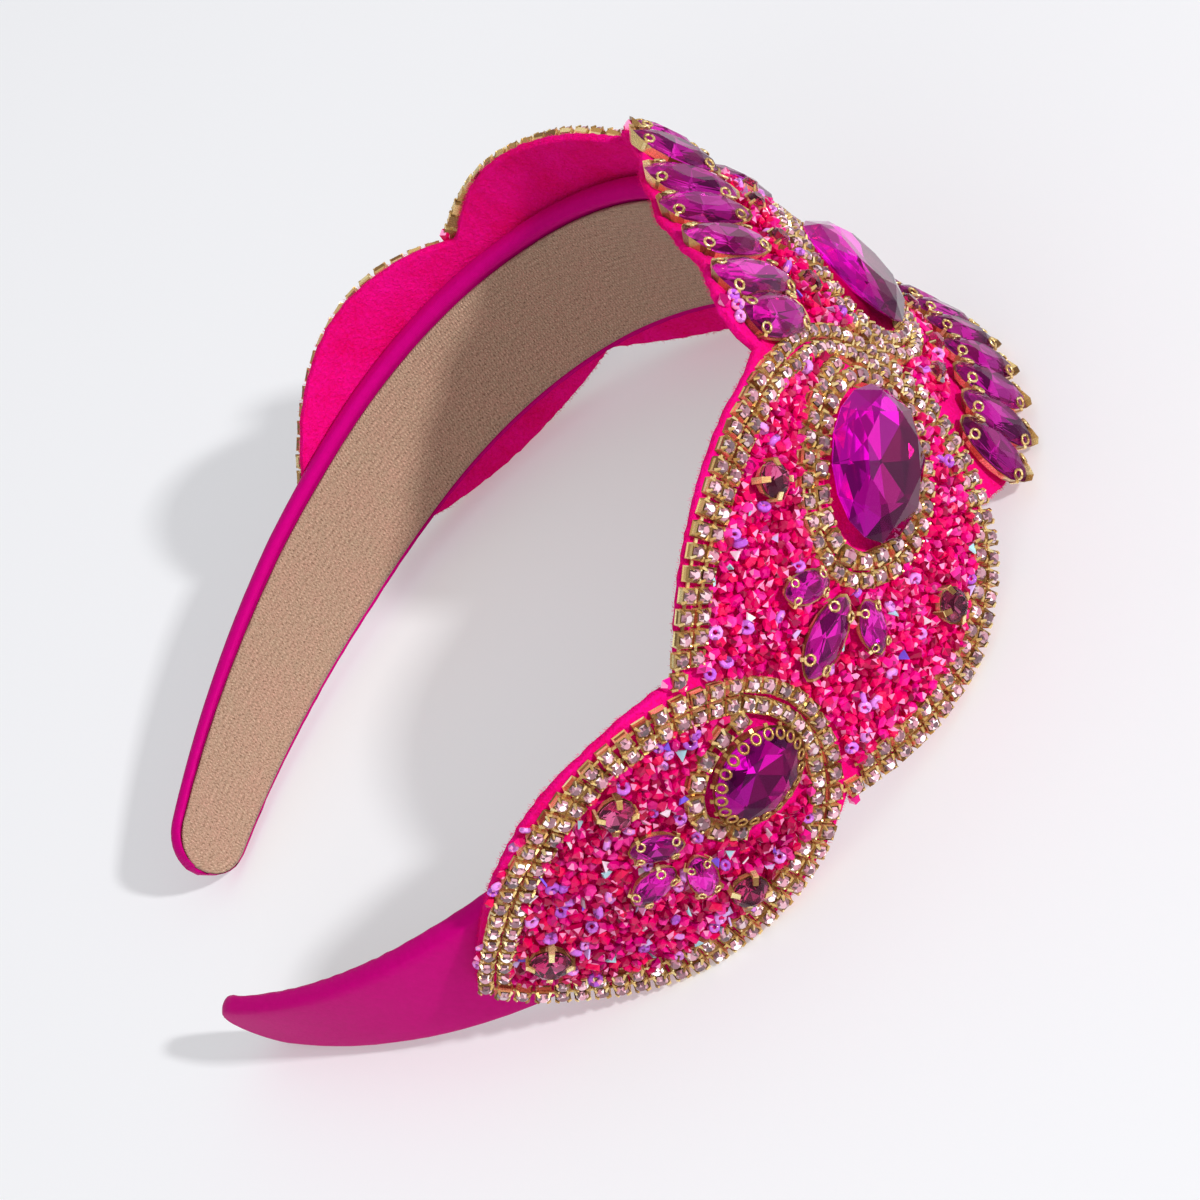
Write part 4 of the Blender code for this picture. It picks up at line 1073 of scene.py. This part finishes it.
# Fields of small beads and chips
beadField = {
    "pitch": 1.8, "size": 1.22, "scatter": 0.45,
    "layers": ((0.6, 0.6), (1.45, 1.0)),    # height, share of its spots that are filled
    # facet tones of each bead, darkest to palest: painted shade and light on its facets
    "shades": (0.36, 0.66, 0.84, 0.9, 0.94, 0.96, 0.98, 1.0, 1.06, 1.16),
    "paintedGlint": (1.0, 0.34, 0.62),             # a painted glint: the palest facet of each bead
    "edgeClear": 3.7, "biconeShare": 0.45, "tumble": 0.7,
    "lobes": (      # label, ring and the room round it, shares of flakes and of lilac, depth of colour
        ("end", "end", 1.7, 0.10, 0.09, 0.8), ("middle", "middleOuter", 1.6, 0.03, 0.06, 1.0)),
    "centreEdge": ((20.5, 14.0), (19.0, 18.0), (16.0, 18.9), (8.0, 20.5), (0.0, 20.8)),
    "centreClear": 1.5, "centreShares": (0.03, 0.05),       # room round the ring, flakes and lilac
    "chipKinds": 8, "chipRagged": (0.62, 1.2), "seedRing": (0.64, 0.36),
    "clusters": {   # beads over the felt's edge: s, f, height, kind, size
        "notch": ((84.0, -21.6, 0.6, "bicone", 1.5), (82.6, 20.6, 0.6, "bicone", 1.6)),
        "end": (
            (84.0, -21.6, 0.6, "bicone", 1.5), (83.2, -19.9, 1.6, "bicone", 1.2),
            (82.6, 20.6, 0.6, "bicone", 1.6), (84.0, 21.6, 0.4, "bicone", 1.3),
            (112.8, -24.6, 0.6, "seed", 1.0), (114.6, -24.0, 1.3, "bicone", 1.2),
            (116.2, -23.4, 0.5, "seed", 1.0), (121.4, -20.6, 0.6, "bicone", 1.1),
            (123.2, -19.8, 1.2, "seed", 1.0), (125.0, -18.6, 0.5, "seed", 1.0),
            (126.8, -17.4, 1.0, "bicone", 1.1), (136.2, -9.8, 0.6, "seed", 1.0),
            (138.0, -8.4, 1.0, "bicone", 1.1), (140.2, -6.4, 0.5, "seed", 1.0)),
        "middle": (
            (26.6, -33.4, 0.9, "seed", 1.15), (28.4, -32.9, 1.0, "seed", 1.15),
            (30.2, -32.4, 0.8, "seed", 1.15), (28.6, -35.4, 0.4, "bicone", 1.6)),
    },
}
pinkTones = colourSet((236, 0, 110), (220, 0, 92), (200, 0, 80), (246, 8, 140), (160, 0, 62), (250, 50, 160),
                      (214, 0, 124), (230, 0, 96), (240, 4, 84))
lilacTones = colourSet((214, 120, 240), (190, 96, 226), (236, 150, 246))
flashTones = colourSet((170, 225, 235), (220, 190, 255), (255, 235, 250), (120, 90, 240))


def beadShapes():
    shapes = {"chips": []}
    for kind in range(beadField["chipKinds"]):
        form = bmesh.new()
        made = bmesh.ops.create_icosphere(form, subdivisions=1, radius=0.82)["verts"]
        for vert in made:
            vert.co *= dice.uniform(*beadField["chipRagged"])
            vert.co.x *= 1.3
            vert.co.z *= 0.8
        rest = bmesh.ops.convex_hull(form, input=made, use_existing_faces=False)
        bmesh.ops.delete(form, geom=list(set(rest["geom_interior"] + rest["geom_unused"])), context="VERTS")
        bmesh.ops.dissolve_limit(form, angle_limit=math.radians(8), verts=form.verts[:],
                                 edges=sorted(form.edges, key=placeOf))
        shapes["chips"].append(asShape(form))
    form = bmesh.new()
    for low, high, middle in ((0.28, 0.85, -0.3), (0.85, 0.28, 0.3)):
        bmesh.ops.create_cone(form, cap_ends=True, segments=6, radius1=low, radius2=high, depth=0.6,
                              matrix=Matrix.Translation((0, 0, middle)))
    bmesh.ops.remove_doubles(form, verts=form.verts[:], dist=0.001)
    inside = [face for face in form.faces if abs(face.calc_center_median().z) < 0.01]
    bmesh.ops.delete(form, geom=inside, context="FACES_ONLY")
    shapes["bicone"] = asShape(form)
    form = bmesh.new()
    bmesh.ops.scale(form, vec=(1, 1, 1.25), verts=spunRing(form, *beadField["seedRing"], 9))
    shapes["seed"] = asShape(form)
    form = bmesh.new()
    bmesh.ops.create_cone(form, cap_ends=True, segments=3, radius1=0.95, radius2=0.75, depth=0.25)
    shapes["flake"] = asShape(form)
    return shapes


def insideOutline(point, outline):
    x, y = point
    inside = False
    for (ax, ay), (bx, by) in zip(outline, outline[1:] + outline[:1]):
        if (ay > y) != (by > y) and x < (bx - ax) * (y - ay) / (by - ay) + ax:
            inside = not inside
    return inside


def insideEllipse(point, ellipse, grow=0.0, limit=1.0):
    s, f, halfS, halfF = ellipse
    return ((point[0] - s) / (halfS + grow)) ** 2 + ((point[1] - f) / (halfF + grow)) ** 2 < limit


def beadCopies(shapes, outline, keepOut, side, flashes, lilacs, depth=1.0):
    # two layers of beads at random on a slanted grid, where the outline and the stones leave room
    pitch, scatter, tumble, copies = beadField["pitch"], beadField["scatter"], beadField["tumble"], []
    lowS, lowF = (min(point[axis] for point in outline) for axis in (0, 1))
    highS, highF = (max(point[axis] for point in outline) for axis in (0, 1))
    for height, share in beadField["layers"]:
        for row in range(int((highF - lowF) / (0.866 * pitch)) + 2):
            for column in range(int((highS - lowS) / pitch) + 2):
                s = lowS + (column + 0.5 * (row % 2)) * pitch + dice.uniform(-scatter, scatter)
                f = lowF + row * 0.866 * pitch + dice.uniform(-scatter, scatter)
                pick = dice.random()
                if dice.random() > share or not insideOutline((s, f), outline) or keepOut((s, f)):
                    continue
                upper = height > 1.0
                if upper and pick < flashes:
                    shape, colour = shapes["flake"], dice.choice(flashTones)
                elif upper and pick < flashes + lilacs:
                    shape, colour = shapes["seed"], dice.choice(lilacTones)
                elif pick < beadField["biconeShare"]:
                    shape, colour = shapes["bicone"], dice.choice(pinkTones)
                else:
                    shape, colour = dice.choice(shapes["chips"]), dice.choice(pinkTones)
                tones = depth * np.vstack((palette(colour, *beadField["shades"]), beadField["paintedGlint"]))
                lift = height + dice.uniform(-0.2, 0.35)
                turn = Matrix.Rotation(dice.uniform(0, 6.28), 4, "Z")
                turn = turn @ Matrix.Rotation(dice.gauss(0, tumble), 4, "X")
                turn = turn @ Matrix.Rotation(dice.gauss(0, tumble), 4, "Y")
                turn = turn @ Matrix.Scale(beadField["size"] * dice.uniform(0.8, 1.15), 4)
                copies.append((shape, onFelt(side * s, f, 0.0, lift) @ turn, [tones]))
    return copies


def clusterCopies(shapes, label, side):
    copies = []
    for s, f, height, kind, size in beadField["clusters"][label]:
        if side < 0.0 and f < 0.0:
            f += between(feltSheet["leftTrim"], s)
        colour = dice.choice(lilacTones if kind == "seed" else pinkTones)
        turn = Matrix.Rotation(dice.uniform(0, 6.28), 4, "Z") @ Matrix.Rotation(dice.gauss(0, 0.6), 4, "X")
        copies.append((shapes[kind], onFelt(side * s, f, 0.0, height) @ turn @ Matrix.Scale(size, 4),
                       [np.vstack((palette(colour, 0.6, 1.0, 1.2), beadField["paintedGlint"]))]))
    return copies


def baguetteShape():
    length, width = stones["baguetteSize"]
    outline = ovalOutline(0.5 * length, 0.5 * width)
    form = bmesh.new()
    cutStone(form, outline, stones["baguetteHeights"], 0.6)
    goldTray(form, outline, -0.3, 1.15, 12, 1.06)
    for x in (-1, 1):
        for y in (-1, 1):
            lean = Matrix.Rotation(math.radians(30 * y), 4, "X")
            addBox(form, stones["baguetteClaw"], (x * 1.55, y * 1.15, 1.2), lean, 0.7)
    baguette = asShape(form)
    baguette["finishes"] = baguette["finishes"] + 1     # finish 0 is the beads' own
    return baguette


def underStone(point):
    if any(math.dist(point, (s, f)) < 0.5 * diameter + 0.1 for label, s, f, diameter in stones["chatons"]):
        return True
    for s, f, length, width, angle in (*stones["petals"]["middle"], *stones["petals"]["end"]):
        a = math.radians(angle)
        x = (point[0] - s) * math.cos(a) + (point[1] - f) * math.sin(a)
        y = -(point[0] - s) * math.sin(a) + (point[1] - f) * math.cos(a)
        if insideEllipse((x, y), (0.0, 0.0, 0.5 * length, 0.5 * width), limit=0.9):
            return True
    return False


def makeBeadFields():
    shapes, clear = beadShapes(), beadField["edgeClear"]
    endOutline = movedInwards(smooth(endLobeRoute, False, 1.0), clear)
    middleOutline = movedInwards(smooth(middleLobeRoute, False, 1.0), clear)
    nearEnd = movedInwards(smooth([(s, f) for s, f in endLobeRoute if s < 84.0], False, 2.0), -1.6)
    middleOutline = [point for point in middleOutline if point[0] < 82.0] + nearEnd[::-1]
    outlines = {"end": endOutline, "middle": middleOutline}
    for tag, side in bothSides:
        for label, ring, room, flashes, lilacs, depth in beadField["lobes"]:
            copies = beadCopies(shapes, outlines[label],
                                lambda point: underStone(point) or insideEllipse(point, rings[ring], room),
                                side, flashes, lilacs, depth)
            copies += clusterCopies(shapes, "notch" if label == "end" and side < 0.0 else label, side)
            addJoined(label + "_lobe_beads" + tag, "_field", copies, [beadGloss], "pink_beads")
    edge, clear = beadField["centreEdge"], beadField["centreClear"]
    for tag, across in (("front", -1.0), ("back", 1.0)):
        outline = [(s, across * f) for s, f in edge] + [(-s, across * f) for s, f in edge[-2::-1]]
        outline += [(-18.0, across * 6.0), (18.0, across * 6.0)]
        copies = beadCopies(shapes, outline, lambda point: insideEllipse(point, rings["centreOuter"], clear),
                            1.0, *beadField["centreShares"])
        baguette = baguetteShape()
        for side in (1.0, -1.0):
            for s, f, angle in stones["baguettes"]:
                place = onFelt(side * s, across * f, -side * across * angle, stones["baguetteLift"])
                copies.append((baguette, place, [mauveTones, goldTones, mauveTones, mauveTones]))
        addJoined("centre_beads_" + tag, "_field", copies, [beadGloss, *mauve], "pink_beads")


makeBandCover()
makeLining()
makeFelt()
print("cloth made")
makeFibres()
makeChains()
print("chains made")
makeBigStones()
makeFan()
makeChatons()
makePetals()
print("stones made")
makeBeadFields()
print("beads made")


# Camera, floor and light
studio = {
    "lens": 109.59,
    "rows": ((0.27528, 0.69882, 0.66021), (0.56936, 0.43484, -0.69767), (-0.77463, 0.56795, -0.27818)),
    "offset": (35.863, -48.783, 611.492),   # millimetres
    "lights": (     # name, direction from the headband, distance, size, power
        ("key", (0.603, 0.641, 0.473), 3.2, 0.17, 80.0),
        ("overhead", (0.1, -0.25, 1.0), 2.4, 2.6, 3.0),
        ("front", (1.0, -0.5, 0.5), 2.4, 1.6, 7.0),
    ),
    "middle": (0.0, 0.02, 0.03), "floorSize": 30.0, "floorColour": (0.675, 0.68, 0.695), "floorGlow": 0.27,
    "sky": ((0.0, (0.62, 0.62, 0.66, 1.0)), (0.9, (1.0, 1.0, 1.02, 1.0))), "skyStrength": 0.55,
}


def makeCamera():
    turn = Matrix(studio["rows"])
    eye = -(turn.transposed() @ Vector(studio["offset"]))

    def toLocal(v):
        return Vector((v[0], v[2], -v[1]))

    place = Matrix((toLocal(turn[0]), -toLocal(turn[1]), -toLocal(turn[2]))).transposed().to_4x4()
    place.translation = toLocal(eye) * 0.001
    data = bpy.data.cameras.new("camera")
    data.lens, data.sensor_width = studio["lens"], 36.0
    camera = addToScene("camera", data)
    camera.matrix_world = layDown @ place
    bpy.context.scene.camera = camera


def makeFloor():
    form = bmesh.new()
    bmesh.ops.create_grid(form, x_segments=1, y_segments=1, size=studio["floorSize"])
    mesh = bpy.data.meshes.new("floor")
    form.to_mesh(mesh)
    form.free()
    addToScene("floor", mesh)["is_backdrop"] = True
    paper = Finish("palePaper", studio["floorColour"], Roughness=0.9, Specular_IOR_Level=0.1,
                   Emission_Color=(0.98, 0.985, 1.0, 1.0), Emission_Strength=studio["floorGlow"])
    mesh.materials.append(paper.material)


def makeLight():
    middle = Vector(studio["middle"])
    for name, way, distance, size, power in studio["lights"]:
        data = bpy.data.lights.new(name, "AREA")
        data.size, data.energy = size, power
        light = addToScene(name, data)
        light.location = middle + Vector(way).normalized() * distance
        light.rotation_euler = (light.location - middle).to_track_quat("Z", "Y").to_euler()
    world = bpy.data.worlds.new("studio")
    world.use_nodes = True
    bpy.context.scene.world = world
    tree = world.node_tree
    height = addNode(tree, "SeparateXYZ", {0: addNode(tree, "TexCoord", {})["Generated"]})["Z"]
    ramp = tree.nodes.new("ShaderNodeValToRGB")
    feed(tree, ramp.inputs[0], height)
    for element, (position, colour) in zip(ramp.color_ramp.elements, studio["sky"]):
        element.position, element.color = position, colour
    background = tree.nodes["Background"].inputs
    feed(tree, background["Color"], ramp.outputs[0])
    background["Strength"].default_value = studio["skyStrength"]
    bpy.context.scene.view_settings.view_transform = "Standard"


makeCamera()
makeFloor()
makeLight()
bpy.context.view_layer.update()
meshes = [piece.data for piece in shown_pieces() if piece.type == "MESH"]
print("triangles", sum(len(face.vertices) - 2 for mesh in meshes for face in mesh.polygons))
